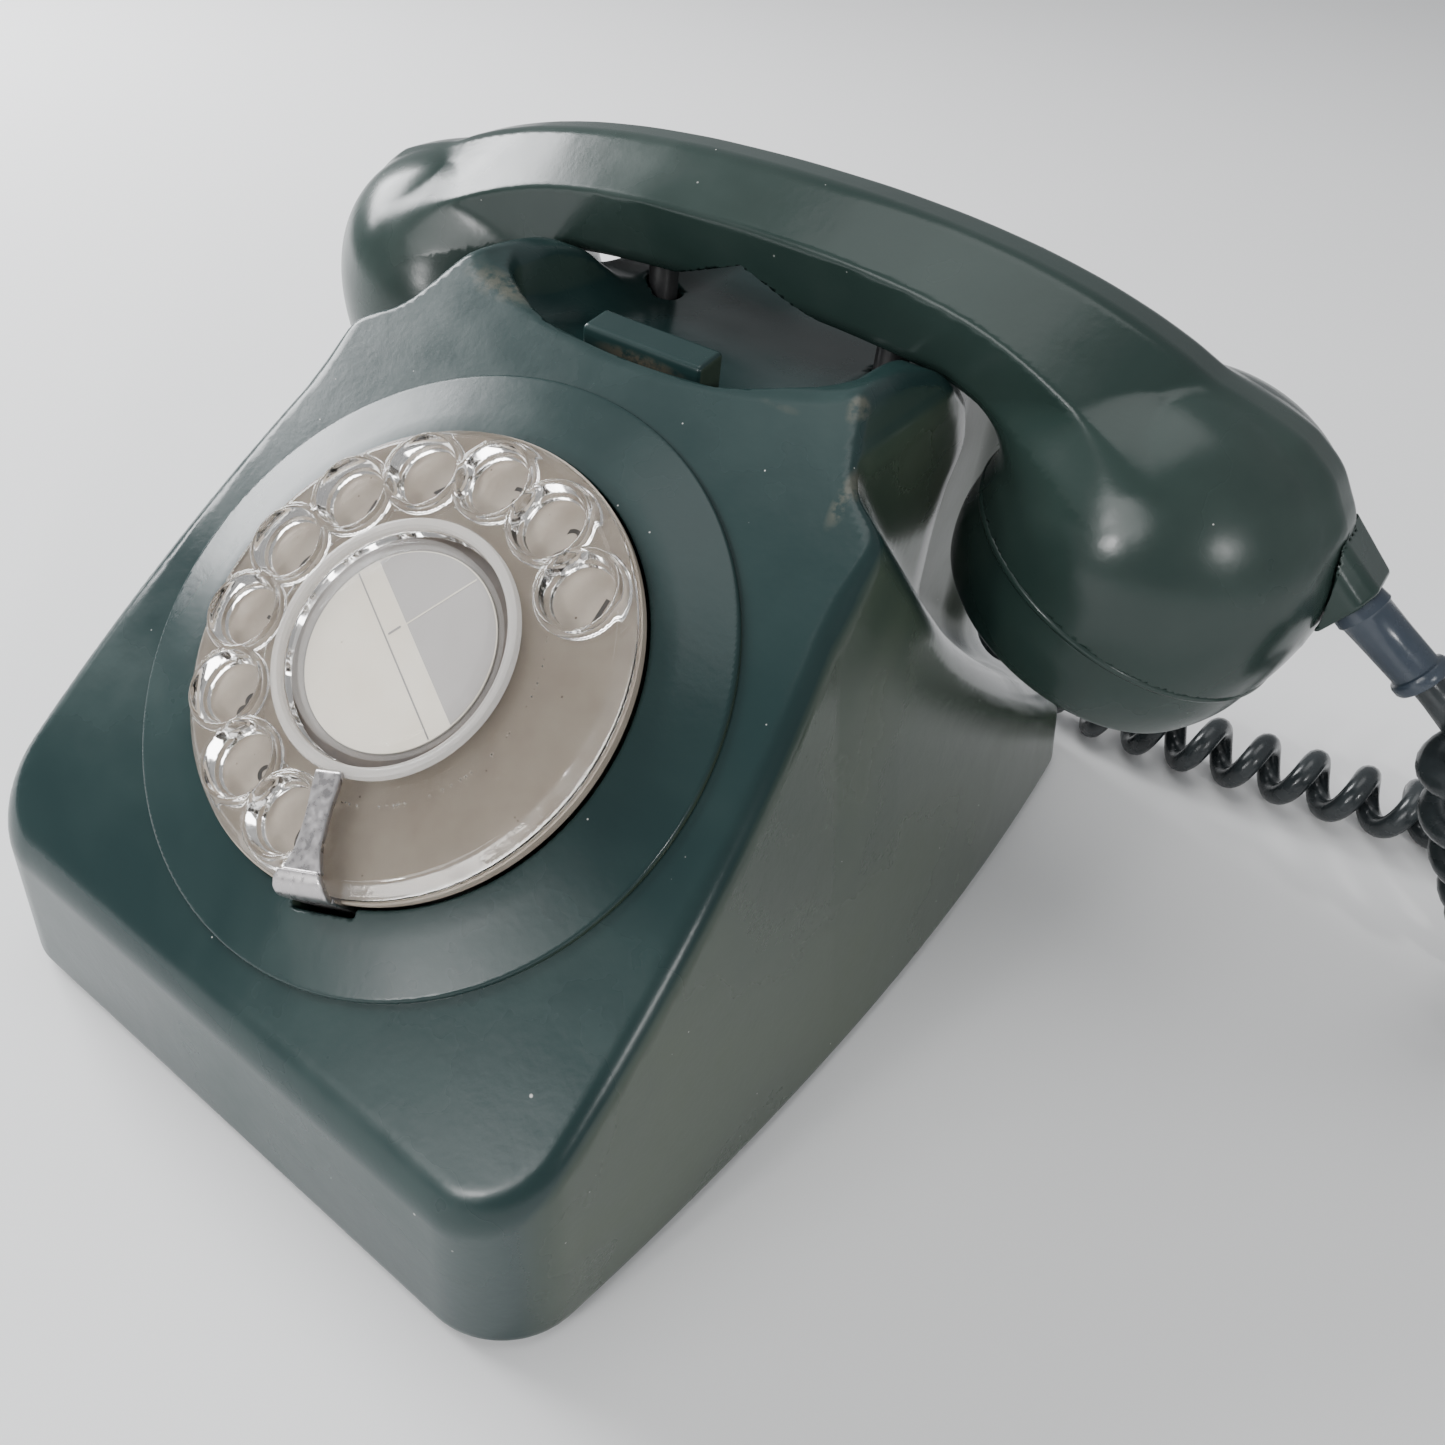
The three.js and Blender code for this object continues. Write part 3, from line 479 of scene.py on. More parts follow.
def moulded_plastic(name, deep, hazed, sides=None, marks=()):
    """Old gloss plastic: blotchy haze, wiped streaks, specks of dust and a faint orange peel.

    sides: the two lighter tints of the surfaces that face sideways, painted light on those sides. marks: soft
    worn or dirty spots."""
    n = Nodes(name)
    blotch = n.ramp(n.noise(20, 3, 0.5, distortion=0.5), 0.36, 0.7)
    small = n.ramp(n.noise(95, 3, 0.55), 0.35, 0.75)
    haze = n.math("MULTIPLY", blotch, n.ramp(small, 0, 1, 0.55, 1))
    colour = n.mix(haze, deep, hazed)
    if sides is not None:
        # painted light: surfaces that face sideways are made lighter, as if more strongly lit
        side = n.ramp(n.facing(0), 0.75, 0.98, 0, 0.85)
        colour = n.mix(side, colour, n.mix(haze, sides[0], sides[1]))
    streak = n.ramp(n.noise(40, 4, 0.6, stretch=(1, 0.12, 1)), 0.6, 0.75, 0, 0.2)
    colour = n.mix(streak, colour, hazed)
    for centre, size, tint in marks:
        patchy = n.ramp(n.noise(420, 4, 0.65), 0.38, 0.56)
        colour = n.mix(n.math("MULTIPLY", n.ramp(n.spot(centre, size), 0.05, 0.5), patchy), colour, tint)
    dust = n.math("MAXIMUM", n.specks(150, 0.05, 0.10), n.specks(420, 0.07, 0.06))
    colour = n.mix(dust, colour, (0.55, 0.55, 0.52))
    n.colour(colour)
    n.roughness(n.math("ADD", n.ramp(haze, 0, 1, 0.2, 0.4), n.math("MULTIPLY", dust, 0.3)))
    peel = n.math("ADD", n.math("MULTIPLY", n.noise(900, 2), 0.3), n.math("MULTIPLY", n.noise(140, 2), 1.0))
    n.bump(peel, 0.05)
    n.set(Specular_IOR_Level=0.38)
    return n.material


def clear_plastic(name, tint, cloudy=None):
    """Clear plastic that has yellowed a little, with fine scuffs.

    cloudy: how much a thin piece hides. Without it the plastic bends light."""
    n = Nodes(name)
    n.colour(n.mix(n.ramp(n.noise(60, 4), 0.35, 0.7), tint, tuple(c * 0.93 for c in tint)))
    n.roughness(n.ramp(n.noise(180, 4, 0.6), 0.4, 0.7, 0.02, 0.12))
    n.bump(n.noise(260, 3), 0.02)
    if cloudy is None:
        n.set(Transmission_Weight=1.0, IOR=1.49)
    else:
        n.set(Alpha=cloudy)
    return n.material


def satin_steel(name, tint, rough, grain=(1, 1, 0.04)):
    """Brushed metal with a few darker stains."""
    n = Nodes(name)
    brushed = n.noise(900, 2, 0.5, stretch=grain)
    stain = n.ramp(n.noise(260, 3), 0.55, 0.85)
    n.colour(n.mix(stain, tint, tuple(c * 0.8 for c in tint)))
    n.roughness(n.ramp(brushed, 0.3, 0.7, rough - 0.08, rough + 0.1))
    n.bump(brushed, 0.01)
    n.set(Metallic=1.0)
    return n.material


def plain_plastic(name, tint, worn, rough, specks=None):
    """A satin plastic or rubber with marks."""
    n = Nodes(name)
    colour = n.mix(n.ramp(n.noise(120, 4, 0.6), 0.35, 0.72), tint, worn)
    if specks is not None:
        colour = n.mix(n.specks(500, 0.12, 0.08), colour, specks)
    n.colour(colour)
    n.roughness(n.ramp(n.noise(300, 3), 0.35, 0.7, rough - 0.07, rough + 0.1))
    n.bump(n.noise(800, 2), 0.02)
    return n.material


WORN = (0.07, 0.075, 0.06)
DIRT = (0.12, 0.095, 0.065)
CASE_MARKS = (  # centre, half sizes and tint
    ((-29, 5, 110), (12, 5, 4), WORN),
    ((16, 6.5, 104.5), (4, 3, 3), DIRT),
    ((0, 5.6, 104), (15, 1.4, 2.5), DIRT),
    ((30, 4, 106), (8, 1.6, 2), WORN),
    ((41, 7, 110), (2, 3, 6), WORN),
    ((47, -3, 103), (2, 8, 9), WORN),
)


def make_materials():
    return {
        "case_green": moulded_plastic(
            "case_green", (0.009, 0.026, 0.026), (0.022, 0.045, 0.042),
            # lighter tints for the case's sides: painted light on the surfaces that face sideways
            ((0.042, 0.06, 0.042), (0.08, 0.1, 0.068)), CASE_MARKS),
        "handset_green": moulded_plastic("handset_green", (0.0165, 0.032, 0.0275), (0.037, 0.057, 0.05)),
        "clear_plastic": clear_plastic("clear_plastic", (0.97, 0.95, 0.92)),
        "clear_rim": clear_plastic("clear_rim", (0.9, 0.87, 0.83), 0.35),
        "clear_cover": clear_plastic("clear_cover", (0.9, 0.88, 0.85), 0.12),
        "beige_plastic": plain_plastic(
            "beige_plastic", (0.44, 0.385, 0.32), (0.37, 0.31, 0.25), 0.45, (0.1, 0.07, 0.05)),
        "card": plain_plastic("card", (0.86, 0.8, 0.68), (0.8, 0.72, 0.58), 0.7, (0.5, 0.42, 0.3)),
        "card_grey": plain_plastic("card_grey", (0.36, 0.34, 0.33), (0.33, 0.31, 0.3), 0.7),
        "card_line": plain_plastic("card_line", (0.16, 0.15, 0.15), (0.2, 0.18, 0.17), 0.7),
        "print_black": plain_plastic("print_black", (0.02, 0.018, 0.016), (0.06, 0.05, 0.04), 0.6),
        # painted shade: a dark brown for the floor of the gap round the hub's cover
        "painted_gap_shade": plain_plastic("painted_gap_shade", (0.1, 0.08, 0.065), (0.05, 0.04, 0.035), 0.6),
        "steel": satin_steel("steel", (0.48, 0.46, 0.46), 0.3),
        "zinc_plate": satin_steel("zinc_plate", (0.5, 0.51, 0.49), 0.42),
        "brass": satin_steel("brass", (0.7, 0.5, 0.22), 0.32),
        "copper_wire": satin_steel("copper_wire", (0.55, 0.22, 0.1), 0.4, (1, 0.02, 1)),
        "capsule_metal": satin_steel("capsule_metal", (0.6, 0.6, 0.6), 0.35),
        "board": plain_plastic("board", (0.26, 0.14, 0.05), (0.18, 0.1, 0.04), 0.5),
        "black_plastic": plain_plastic("black_plastic", (0.02, 0.02, 0.022), (0.035, 0.035, 0.035), 0.4),
        "relief_plastic": plain_plastic("relief_plastic", (0.03, 0.042, 0.06), (0.045, 0.058, 0.075), 0.22),
        "cord_sheath": plain_plastic("cord_sheath", (0.016, 0.02, 0.022), (0.035, 0.042, 0.045), 0.25),
        "grommet_rubber": plain_plastic("grommet_rubber", (0.015, 0.015, 0.016), (0.03, 0.03, 0.03), 0.5),
        "foot_rubber": plain_plastic("foot_rubber", (0.02, 0.02, 0.02), (0.05, 0.048, 0.045), 0.7),
    }


# ---------------------------------------------------------------- the handset cord
# the cord's line: out of the sleeve, down to the floor and back to the case, then straight into the grommet
CORD_TOP = [(124.9, 47.9, 79.4), (127.2, 47.9, 78), (129.6, 47.9, 76.3), (131.6, 47.9, 74.5)]
CORD_DROP = [
    (133, 47.9, 73), (141, 49, 60), (150, 55, 44), (158, 66, 27), (164, 80, 13.5), (167, 95, 8.2),
    (166, 109, 7.7), (160, 118.6, 7.7), (149.5, 121.6, 7.7), (138.5, 117.6, 7.7), (127.2, 114.6, 7.7),
    (116.6, 112.4, 7.7), (106.9, 110.5, 7.7), (97.5, 108.7, 7.7), (89.4, 107.3, 7.7), (80.8, 106, 7.7),
    (71.4, 105.2, 7.7), (58, 105.2, 7.7),
]
CORD_END = [
    (55.5, 105.6, 7.8), (50, 106.4, 8), (42, 107.8, 9), (34.6, 106.4, 11), (31, 103.2, 11.8), (30.1, 100.6, 12),
    (30, 98.6, 12),
]
PITCH_LINE = smooth_line([(0, 9.5), (60, 11), (150, 11), (230, 10), (270, 8.6), (400, 8.4)])  # along the route


def helix_points():
    """The curly stretch, as turns of wire round the route."""
    route = even_line(CORD_DROP, 0.5)
    along = np.arange(len(route)) * np.linalg.norm(route[1] - route[0])
    turns = np.concatenate([[0], np.cumsum(np.diff(along) / PITCH_LINE(along[:-1]))])
    turns *= round(turns[-1]) / turns[-1]
    ahead = np.gradient(route, axis=0)
    ahead /= np.linalg.norm(ahead, axis=1)[:, None]
    across = np.cross(ahead[0], (0, 1, 0))
    frames = []
    for tangent in ahead:
        across = across - tangent * across.dot(tangent)
        across /= np.linalg.norm(across)
        frames.append(across)
    frames = np.array(frames)
    other = np.cross(ahead, frames)
    spread = HELIX_RADIUS * np.clip(np.minimum(turns, turns[-1] - turns) / 0.75, 0, 1) ** 0.7
    fine = np.arange(0, turns[-1], 1 / 26)
    parts = []
    for values in (route, frames, other):
        parts.append(np.stack([np.interp(fine, turns, values[:, k]) for k in range(3)], 1))
    size = np.interp(fine, turns, spread)[:, None]
    angle = (2 * math.pi * fine)[:, None]
    return parts[0] + size * (np.cos(angle) * parts[1] - np.sin(angle) * parts[2])


def make_cord(materials):
    """The whole cord as one wire. Returns it, its line in millimetres and its length in metres."""
    helix = helix_points()
    line = even_line(np.concatenate([CORD_TOP[:-1], helix[6:-6:2], CORD_END]), 1.3)
    cord = tube("handset_cord", line, WIRE_RADIUS, materials["cord_sheath"])
    length = np.linalg.norm(np.diff(line, axis=0), axis=1).sum() * MM
    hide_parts("handset_cord_tail", "handset_cord_coil", "base_cord_tail")
    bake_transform(cord)
    return cord, line, float(length)


def relief_matrix():
    """Out of the mouthpiece, along the sleeve."""
    tilt = Matrix.Rotation(BOSS_TILT, 4, "Y") @ Matrix.Rotation(math.radians(90), 4, "Y")
    return shift(BOSS[0], HANDSET_Y, BOSS[1]) @ tilt


def make_cord_fittings(materials):
    """The sleeve at the handset, the grommet at the case, and the empty inlet for the line cord."""
    sleeve = lathe("relief_sleeve", [
        (0, -1.2), (4.1, -1.2), (4.3, 1.2), (3.95, 1.7), (3.75, 7), (3.62, 12.6), (3.7, 13), (4.15, 13.2),
        (4.4, 13.7), (4.4, 14.8), (4.15, 15.3), (3.5, 15.6), (2.6, 15.6), (2.5, 15.2), (0, 15.2),
    ], relief_matrix(), materials["relief_plastic"], 64)
    place(sleeve, "handset", "relief_plastic", "handset_strain_relief")
    along_y = Matrix.Rotation(math.radians(-90), 4, "X")
    gland = lathe("cord_grommet", [
        (0, 92), (5.1, 92), (5.1, 96.9), (7, 97), (7.1, 97.6), (6.5, 98.3), (3.2, 98.8), (2.6, 98.4),
        (2.6, 97), (0, 97),
    ], shift(GLAND[0], 0, GLAND[2]) @ along_y, materials["grommet_rubber"], 64)
    place(gland, "base", "grommet_rubber", "handset_cord_gland")
    inlet = lathe("line_grommet", [
        (3.4, 90), (5.1, 90), (5.1, 96.4), (5, 96.6), (3.7, 96.6), (3.4, 96.2), (3.4, 90),
    ], shift(LINE_INLET_X, 0, GLAND[2]) @ along_y, materials["grommet_rubber"], 64)
    place(inlet, "base", "grommet_rubber", "line_cord_gland")
    return sleeve, gland


# ---------------------------------------------------------------- the case
# ROOF, CREST, BASIN_FLOOR: heights by y. LIP: heights by distance from the middle. BLOCK: half width by y.
# SIDE_TOP, WAIST, BASIN_SIDE: by height. BASIN_FRONT: y by distance from the middle.
ROOF_LINE = smooth_line([
    (-60, 170), (-4.9, 101.2), (14, 78), (24, 67), (47, 47.5), (76, 27), (93, 17), (100, 9),
])
CREST_LINE = smooth_line([
    (-60, 112.2), (10.5, 112.2), (16, 111.7), (24, 110.1), (30, 108.4), (33.5, 106.8), (36.5, 104),
    (40, 101.4), (44, 100.6), (62, 100.6), (70, 101.8), (80, 105), (87, 110.4), (91, 112), (97, 112),
])
FRONT_LIP = smooth_line([
    (-1, 106.1), (0, 106.1), (8, 106.4), (15, 107.1), (22, 107.8), (29, 108.9), (34.5, 109.9), (37, 110.7),
    (38.6, 111.6), (40, 112.2), (60, 113),
])
REAR_LIP = smooth_line([
    (-1, 106.5), (0, 106.5), (13, 106.9), (19, 109.6), (23, 112), (32, 112), (38, 108), (44, 101),
])
SIDE_TOP_LINE = smooth_line([
    (90, 0), (101, 0), (104.6, 0.6), (106.6, 1.8), (109.4, 3.6), (111.4, 5.4), (114, 8),
])
WAIST_LINE = smooth_line([(60, 1), (73, 1), (84, 2.5), (92, 6), (99, 3.5), (104, -1), (112, -4)])
BLOCK_LINE = smooth_line([
    (-90, 46), (30, 45.6), (36, 44.8), (40.5, 42.4), (44, 40), (50, 39.2), (66, 39.2), (78, 41.5),
    (88, 40.5), (97, 36.5),
])
BASIN_FLOOR = smooth_line([
    (0, 103.4), (4.2, 102.6), (9, 101.4), (28, 98.4), (45, 97.2), (62, 97), (80, 99), (89, 103), (95, 106),
])
BASIN_FRONT = smooth_line([(-1, 3.2), (0, 3.2), (15, 3.4), (20, 4.4), (26, 7), (32, 10.6), (36, 14), (42, 20)])
BASIN_SIDE = smooth_line([(90, 25), (98, 26.5), (103, 30.5), (108.5, 34.5), (113, 38), (120, 41)])


def half_width(y, z):
    """Half the width of the lower case, wider in the middle of its length and narrower towards the top."""
    along = (y + HALF_LENGTH) / (2 * HALF_LENGTH)
    bottom = 63.9 + 5.1 * along + 26 * along * (1 - along)
    draw = 0.045 + 0.13 * np.minimum(1, np.maximum(along, 0) / 0.4) + 0.05 * np.maximum(0, along - 0.5)
    return bottom - draw * (z - CASE_BOTTOM)


def on_face(y, z):
    """Distance up the face from the middle of the dial, and out from the face."""
    dy, dz = y - DIAL_Y, z - DIAL_Z
    up = dy * math.cos(FACE_SLOPE) + dz * math.sin(FACE_SLOPE)
    out = dz * math.cos(FACE_SLOPE) - dy * math.sin(FACE_SLOPE)
    return up, out


def case_outside(x, y, z):
    """The case as a full solid with its cradle, before it is hollowed."""
    across = np.abs(x)
    side = (across - half_width(y, z)) / 1.02
    front = -(y + HALF_LENGTH) + 0.046 * (z - CASE_BOTTOM)
    back = y - HALF_LENGTH
    lower = cut(cut(side, front, 13), back, 13)
    lower = cut(lower, above(z, ROOF_LINE, y), 6)
    waist = BLOCK_LINE(y - WAIST_LINE(z) * np.clip((y - 20) / 15, 0, 1) * np.clip((75 - y) / 15, 0, 1))
    block_side = across - waist - 0.02 * (CASE_TOP - z) + SIDE_TOP_LINE(z) * np.clip((60 - y) / 20, 0.5, 1)
    lip = np.where(y < HANDSET_Y, above(z, FRONT_LIP, across), above(z, REAR_LIP, across))
    top = cut(above(z, CREST_LINE, y), lip, 2)
    block = cut(cut(block_side, top, 2), back + 0.045 * np.maximum(0, z - 60), 4)
    block = np.maximum(block, -60 - y)
    body = join(lower, block, 8)
    body = cut(body, on_face(y, z)[1], 1.3 + 2.3 * np.clip((103 - z) / 10, 0, 1))
    body = cut(body, back, 1)
    basin = cut(BASIN_FLOOR(y) - z, (across - BASIN_SIDE(z)) * 0.85, 4)
    basin = cut(basin, (BASIN_FRONT(across) - y) * 0.9, 2.5)
    basin = cut(basin, y - 90, 4)
    return cut(body, -basin, 1.5)


def turned_slot(x, up):
    """The slot that the finger stop comes out of, as a rectangle on the face."""
    turn = math.atan2(STOP_BASE[0] - STOP_TIP[0], STOP_TIP[1] - STOP_BASE[1])
    dx, dy = x - STOP_BASE[0], up - STOP_BASE[1] - 0.9
    along = dy * math.cos(turn) - dx * math.sin(turn)
    aside = dx * math.cos(turn) + dy * math.sin(turn)
    return cut(np.abs(aside) - 5.6, np.abs(along) - 2.5, 0.6)


def case_shell(x, y, z):
    """The hollow case, with its carrying recess and the holes for the dial, stop, plungers, bar and cords."""
    full = case_outside(x, y, z)
    pocket = cut(cut(np.abs(x) - 30, np.abs(z - 77.5) - 11.5, 4), 76 - y, 4)
    hollow = cut(full + WALL, WALL - pocket, 2)
    for post_y in SCREW_POSTS:
        hollow = np.maximum(hollow, 4 - np.hypot(x, y - post_y))
    shell = cut(cut(full, -pocket, 2), CASE_BOTTOM - z, 1)
    shell = cut(shell, -hollow, 0.4)
    up, out = on_face(y, z)
    shell = np.maximum(shell, -np.maximum(np.hypot(x, up) - OPENING_RADIUS, np.abs(out) - 15))
    shell = np.maximum(shell, -np.maximum(turned_slot(x, up), np.abs(out) - 12))
    for side in (-1, 1):
        shell = cut(shell, -np.maximum(np.hypot(x - side * PLUNGER_X, y - HANDSET_Y) - 3.4, 80 - z), 0.5)
    button = cut(np.abs(x) - 13, np.abs(y - BUTTON_Y) - 3.6, 0.6)
    shell = cut(shell, -np.maximum(button, 80 - z), 0.5)
    for x_hole in (GLAND[0], LINE_INLET_X):
        shell = np.maximum(shell, -np.maximum(np.hypot(x - x_hole, z - GLAND[2]) - 5.2, 80 - y))
    return shell


def make_case(materials):
    edges = (
        ((-56, -24, 1.1), (24, 56, 1.1)),
        ((-98, -88, 1.3), (-6, 18, 1.0), (30, 46, 1.2), (84, 99, 1.2)),
        ((0, 4, 0.8), (97, 115, 0.9)),
    )
    case = surface("case_skin", case_shell, (-74, -97, 2), (74, 97, 112.5), 1.75, Matrix(),
                   materials["case_green"], edges)
    place(case, "base", "case_green", "case_shell")

    def rise(x, y, z):  # the raised step round the dial, by its own axis
        r = np.hypot(x, y)
        cone = (z - 0.95 - (STEP_RADIUS - r) * 0.186) / 1.017
        ring = cut(cut(r - STEP_RADIUS, cone, 0.55), z - 3, 0.5)
        ring = cut(ring, OPENING_RADIUS - r, 0.4)
        return np.maximum(cut(ring, -turned_slot(x, y), 0.3), -1.2 - z)

    ring = surface("dial_surround", rise, (-53, -53, -1), (53, 53, 3), 0.5,
                   dial_matrix(), materials["case_green"])
    place(ring, "base", "case_green")

    def bar(x, y, z):
        top = (z - 107.3 - (y - BUTTON_Y) * 0.16) / 1.01
        shape = cut(cut(np.abs(x) - 12.5, np.abs(y - BUTTON_Y) - 3.2, 0.7), top, 0.9)
        flange = cut(cut(np.abs(x) - 14.5, np.abs(y - BUTTON_Y) - 4.6, 0.5), np.abs(z - 92.3) - 0.85, 0.3)
        return join(np.maximum(shape, 92 - z), flange, 0.4)

    button = surface("press_bar", bar, (-14.5, 5, 91.4), (14.5, 14.4, 108), 0.5, Matrix(),
                     materials["case_green"])
    place(button, "press_button", "case_green", "press_button")


# ---------------------------------------------------------------- the dial
def dial_matrix():
    return shift(0, DIAL_Y, DIAL_Z) @ Matrix.Rotation(FACE_SLOPE, 4, "X")


def hole_places():
    """Middles of the finger holes in the dial's plane, with the number 1 first."""
    angles = [FIRST_HOLE - i * HOLE_STEP for i in range(HOLE_COUNT)]
    return [(HOLE_CIRCLE * math.sin(a), HOLE_CIRCLE * math.cos(a)) for a in angles]


def finger_wheel(x, y, z):
    """The clear disc with a collar and a funnel at each finger hole, and a sunk middle."""
    r = np.hypot(x, y)
    underside = np.where(r < 24.6, WHEEL_BOTTOM + 0.35, WHEEL_BOTTOM)
    plate = cut(cut(r - WHEEL_RADIUS, z - WHEEL_TOP, 0.3), underside - z, 0.3)
    plate = cut(plate, (r - WHEEL_RADIUS + 2.2 + z - WHEEL_TOP) / 1.414, 0.3)
    for hole_x, hole_y in hole_places():
        near = np.hypot(x - hole_x, y - hole_y)
        collar = cut(cut(near - 6.8, z - WHEEL_TOP - 0.45, 0.5), WHEEL_BOTTOM - 0.45 - z, 0.3)
        plate = join(plate, collar, 0.5)
    for hole_x, hole_y in hole_places():
        near = np.hypot(x - hole_x, y - hole_y)
        funnel = near - 5.1 - 1.05 * np.clip((z - WHEEL_BOTTOM + 0.45) / 3.9, 0, 1) ** 1.5
        plate = cut(plate, -funnel, 0.35)
    plate = cut(plate, -cut(r - 19.2, WHEEL_BOTTOM + 1 - z, 0.3), 0.3)
    return np.maximum(plate, 3.3 - r)


def flat_piece(name, outline, low, high, matrix, material):
    """A thin plate from an outline in the dial's plane."""
    count = len(outline)
    points = [(x, y, low) for x, y in outline] + [(x, y, high) for x, y in outline]
    sides = [(i, (i + 1) % count, count + (i + 1) % count, count + i) for i in range(count)]
    faces = [tuple(reversed(range(count))), tuple(range(count, 2 * count))] + sides
    obj = new_object(name, moved(points, matrix), faces, material)
    tidy_shell(obj, 20)
    return obj


CARD_RADIUS = 16.6
RULE_Y = (-1.25, -1.0)  # the ruled line's edges, on the turned card
SEGMENT_Y = 2.85  # where the grey segment starts
CARD_TURN = math.radians(-30)  # direction of the card's ruled lines, from the dial's +X


def make_card(materials, matrix):
    """A blank card with a grey segment, a ruled line, a tick and a line that splits the segment."""
    card = lathe("name_card", [(0, 6.5), (CARD_RADIUS, 6.5), (CARD_RADIUS, 6.75), (0, 6.75)], matrix,
                 materials["card"])
    place(card, "dial", "card", "label_card")
    turned = matrix @ Matrix.Rotation(CARD_TURN, 4, "Z")
    radius = CARD_RADIUS - 0.2
    start = math.asin(SEGMENT_Y / radius)
    arc = [(radius * math.cos(a), radius * math.sin(a)) for a in np.linspace(start, math.pi - start, 48)]
    place(flat_piece("card_segment", arc, 6.7, 6.8, turned, materials["card_grey"]), "dial", "card")
    reach = math.sqrt(radius**2 - 1.3**2)
    rule = [(-reach, RULE_Y[0]), (reach, RULE_Y[0]), (reach, RULE_Y[1]), (-reach, RULE_Y[1])]
    place(flat_piece("card_rule", rule, 6.7, 6.8, turned, materials["card_line"]), "dial", "card")
    tick = [(-3.6, -0.5), (-3.25, -0.5), (-3.25, 1.8), (-3.6, 1.8)]
    place(flat_piece("card_tick", tick, 6.7, 6.8, turned, materials["card_line"]), "dial", "card")
    split = [(-3.3, SEGMENT_Y), (-3.05, SEGMENT_Y), (-3.05, 15.8), (-3.3, 15.8)]
    place(flat_piece("card_split", split, 6.78, 6.86, turned, materials["card"]), "dial", "card")


def make_digits(materials, matrix):
    """The dial's numbers, printed on the number plate under the holes."""
    meshes = []
    for i, (x, y) in enumerate(hole_places()):
        data = bpy.data.curves.new("digit", "FONT")
        data.body = str((i + 1) % 10)
        data.size = 7.4 * MM
        data.extrude = 0.04 * MM
        data.align_x = "CENTER"
        data.align_y = "CENTER"
        text = bpy.data.objects.new("digit", data)
        bpy.context.scene.collection.objects.link(text)
        text.matrix_world = matrix @ shift(x + 3.1, y - 1.2, 4.42)
        bpy.context.view_layer.update()
        mesh = bpy.data.meshes.new_from_object(text.evaluated_get(bpy.context.evaluated_depsgraph_get()))
        mesh.transform(text.matrix_world)
        meshes.append(mesh)
        bpy.data.objects.remove(text)
    whole = bmesh.new()
    for mesh in meshes:
        whole.from_mesh(mesh)
    merged = bpy.data.meshes.new("dial_numbers")
    whole.to_mesh(merged)
    whole.free()
    merged.materials.clear()
    merged.materials.append(materials["print_black"])
    digits = bpy.data.objects.new("dial_numbers", merged)
    bpy.context.scene.collection.objects.link(digits)
    place(digits, "base", "black_plastic")


def make_stop(materials, matrix):
    """The finger stop: a bent steel strip, as wide as its outline from above."""
    reach = math.hypot(STOP_TIP[0] - STOP_BASE[0], STOP_TIP[1] - STOP_BASE[1])
    turn = math.atan2(STOP_BASE[0] - STOP_TIP[0], STOP_TIP[1] - STOP_BASE[1])
    width = smooth_line([
        (-3, 4.7), (0, 4.6), (1.5, 4.3), (4, 3.1), (7, 2.25), (11, 2.05), (reach - 0.8, 2.35), (30, 2.4),
    ])

    def strip(x, y, z):  # a leg, a quarter bend and a level blade, 1.2 thick
        bend = 3.0
        top = 10.2
        leg = cut(np.abs(y) - 0.6, z - top + bend, 0.05)
        level = cut(np.abs(z - top + 0.6) - 0.6, bend - y, 0.05)
        corner = np.abs(np.hypot(np.minimum(y - bend, 0), np.maximum(z - top + bend, 0)) - bend) - 0.6
        corner = np.maximum(corner, np.maximum(y - bend, top - bend - z))
        blade = np.minimum(np.minimum(leg, level), corner)
        blade = cut(blade, y - reach, 0.5)
        blade = np.maximum(blade, -6 - z)
        return cut(blade, np.abs(x) - width(y), 0.35)

    spin = matrix @ shift(*STOP_BASE, 0) @ Matrix.Rotation(turn, 4, "Z")
    stop = surface("stop_strip", strip, (-5, -1, -6), (5, reach, 10.4), 0.33, spin, materials["steel"])
    place(stop, "base", "steel", "finger_stop")


def make_dial(materials):
    matrix = dial_matrix()
    plate = lathe("number_disc", [
        (5.5, 3), (38.6, 3), (38.9, 3.3), (38.9, 5.0), (38.6, 5.0), (38.3, 4.5), (37.6, 4.4), (5.5, 4.4),
        (5.5, 3),
    ], matrix, materials["beige_plastic"], 128)
    place(plate, "base", "beige_plastic", "number_plate")
    make_digits(materials, matrix)
    wheel = surface("finger_wheel", finger_wheel, (-38.5, -38.5, 4.7), (38.5, 38.5, 8.7),
                    0.42, matrix, materials["clear_plastic"])
    place(wheel, "dial", "clear_plastic", "finger_plate")
    # painted shade: a dark brown ring laid on the floor of the narrow gap round the hub's cover, so the gap
    # looks shaded
    gap_shade = lathe("hub_gap_shade", [(16.8, 6.25), (19.1, 6.25), (19.1, 6.5), (16.8, 6.5), (16.8, 6.25)], matrix,
                 materials["painted_gap_shade"])
    place(gap_shade, "dial", "black_plastic")
    collar = lathe("hub_collar", [
        (19.35, 8.3), (21.3, 8.3), (21.3, 8.9), (21.0, 9.4), (20.4, 9.6), (19.8, 9.5), (19.4, 9.1),
        (19.35, 8.3),
    ], matrix, materials["clear_rim"], 128)
    place(collar, "dial", "clear_plastic", "hub_ring")
    cover = lathe("hub_dome", [
        (17.0, 6.6), (17.7, 6.6), (17.7, 8.8), (17.4, 9.5), (16.8, 10.0), (15.9, 10.2), (12, 10.36), (6, 10.5),
        (0, 10.55), (0, 9.5), (6, 9.46), (12, 9.32), (15.2, 9.15), (16.4, 8.8), (17.0, 8.1), (17.0, 6.6),
    ], matrix, materials["clear_cover"], 128, 50)
    place(cover, "dial", "clear_plastic", "label_cover")
    make_card(materials, matrix)
    make_stop(materials, matrix)


# ---------------------------------------------------------------- the handset
def handle_top(x):
    """Height of the handle's ridge."""
    return HANDSET_TOP - x**2 / 820 - 12e-8 * x**4


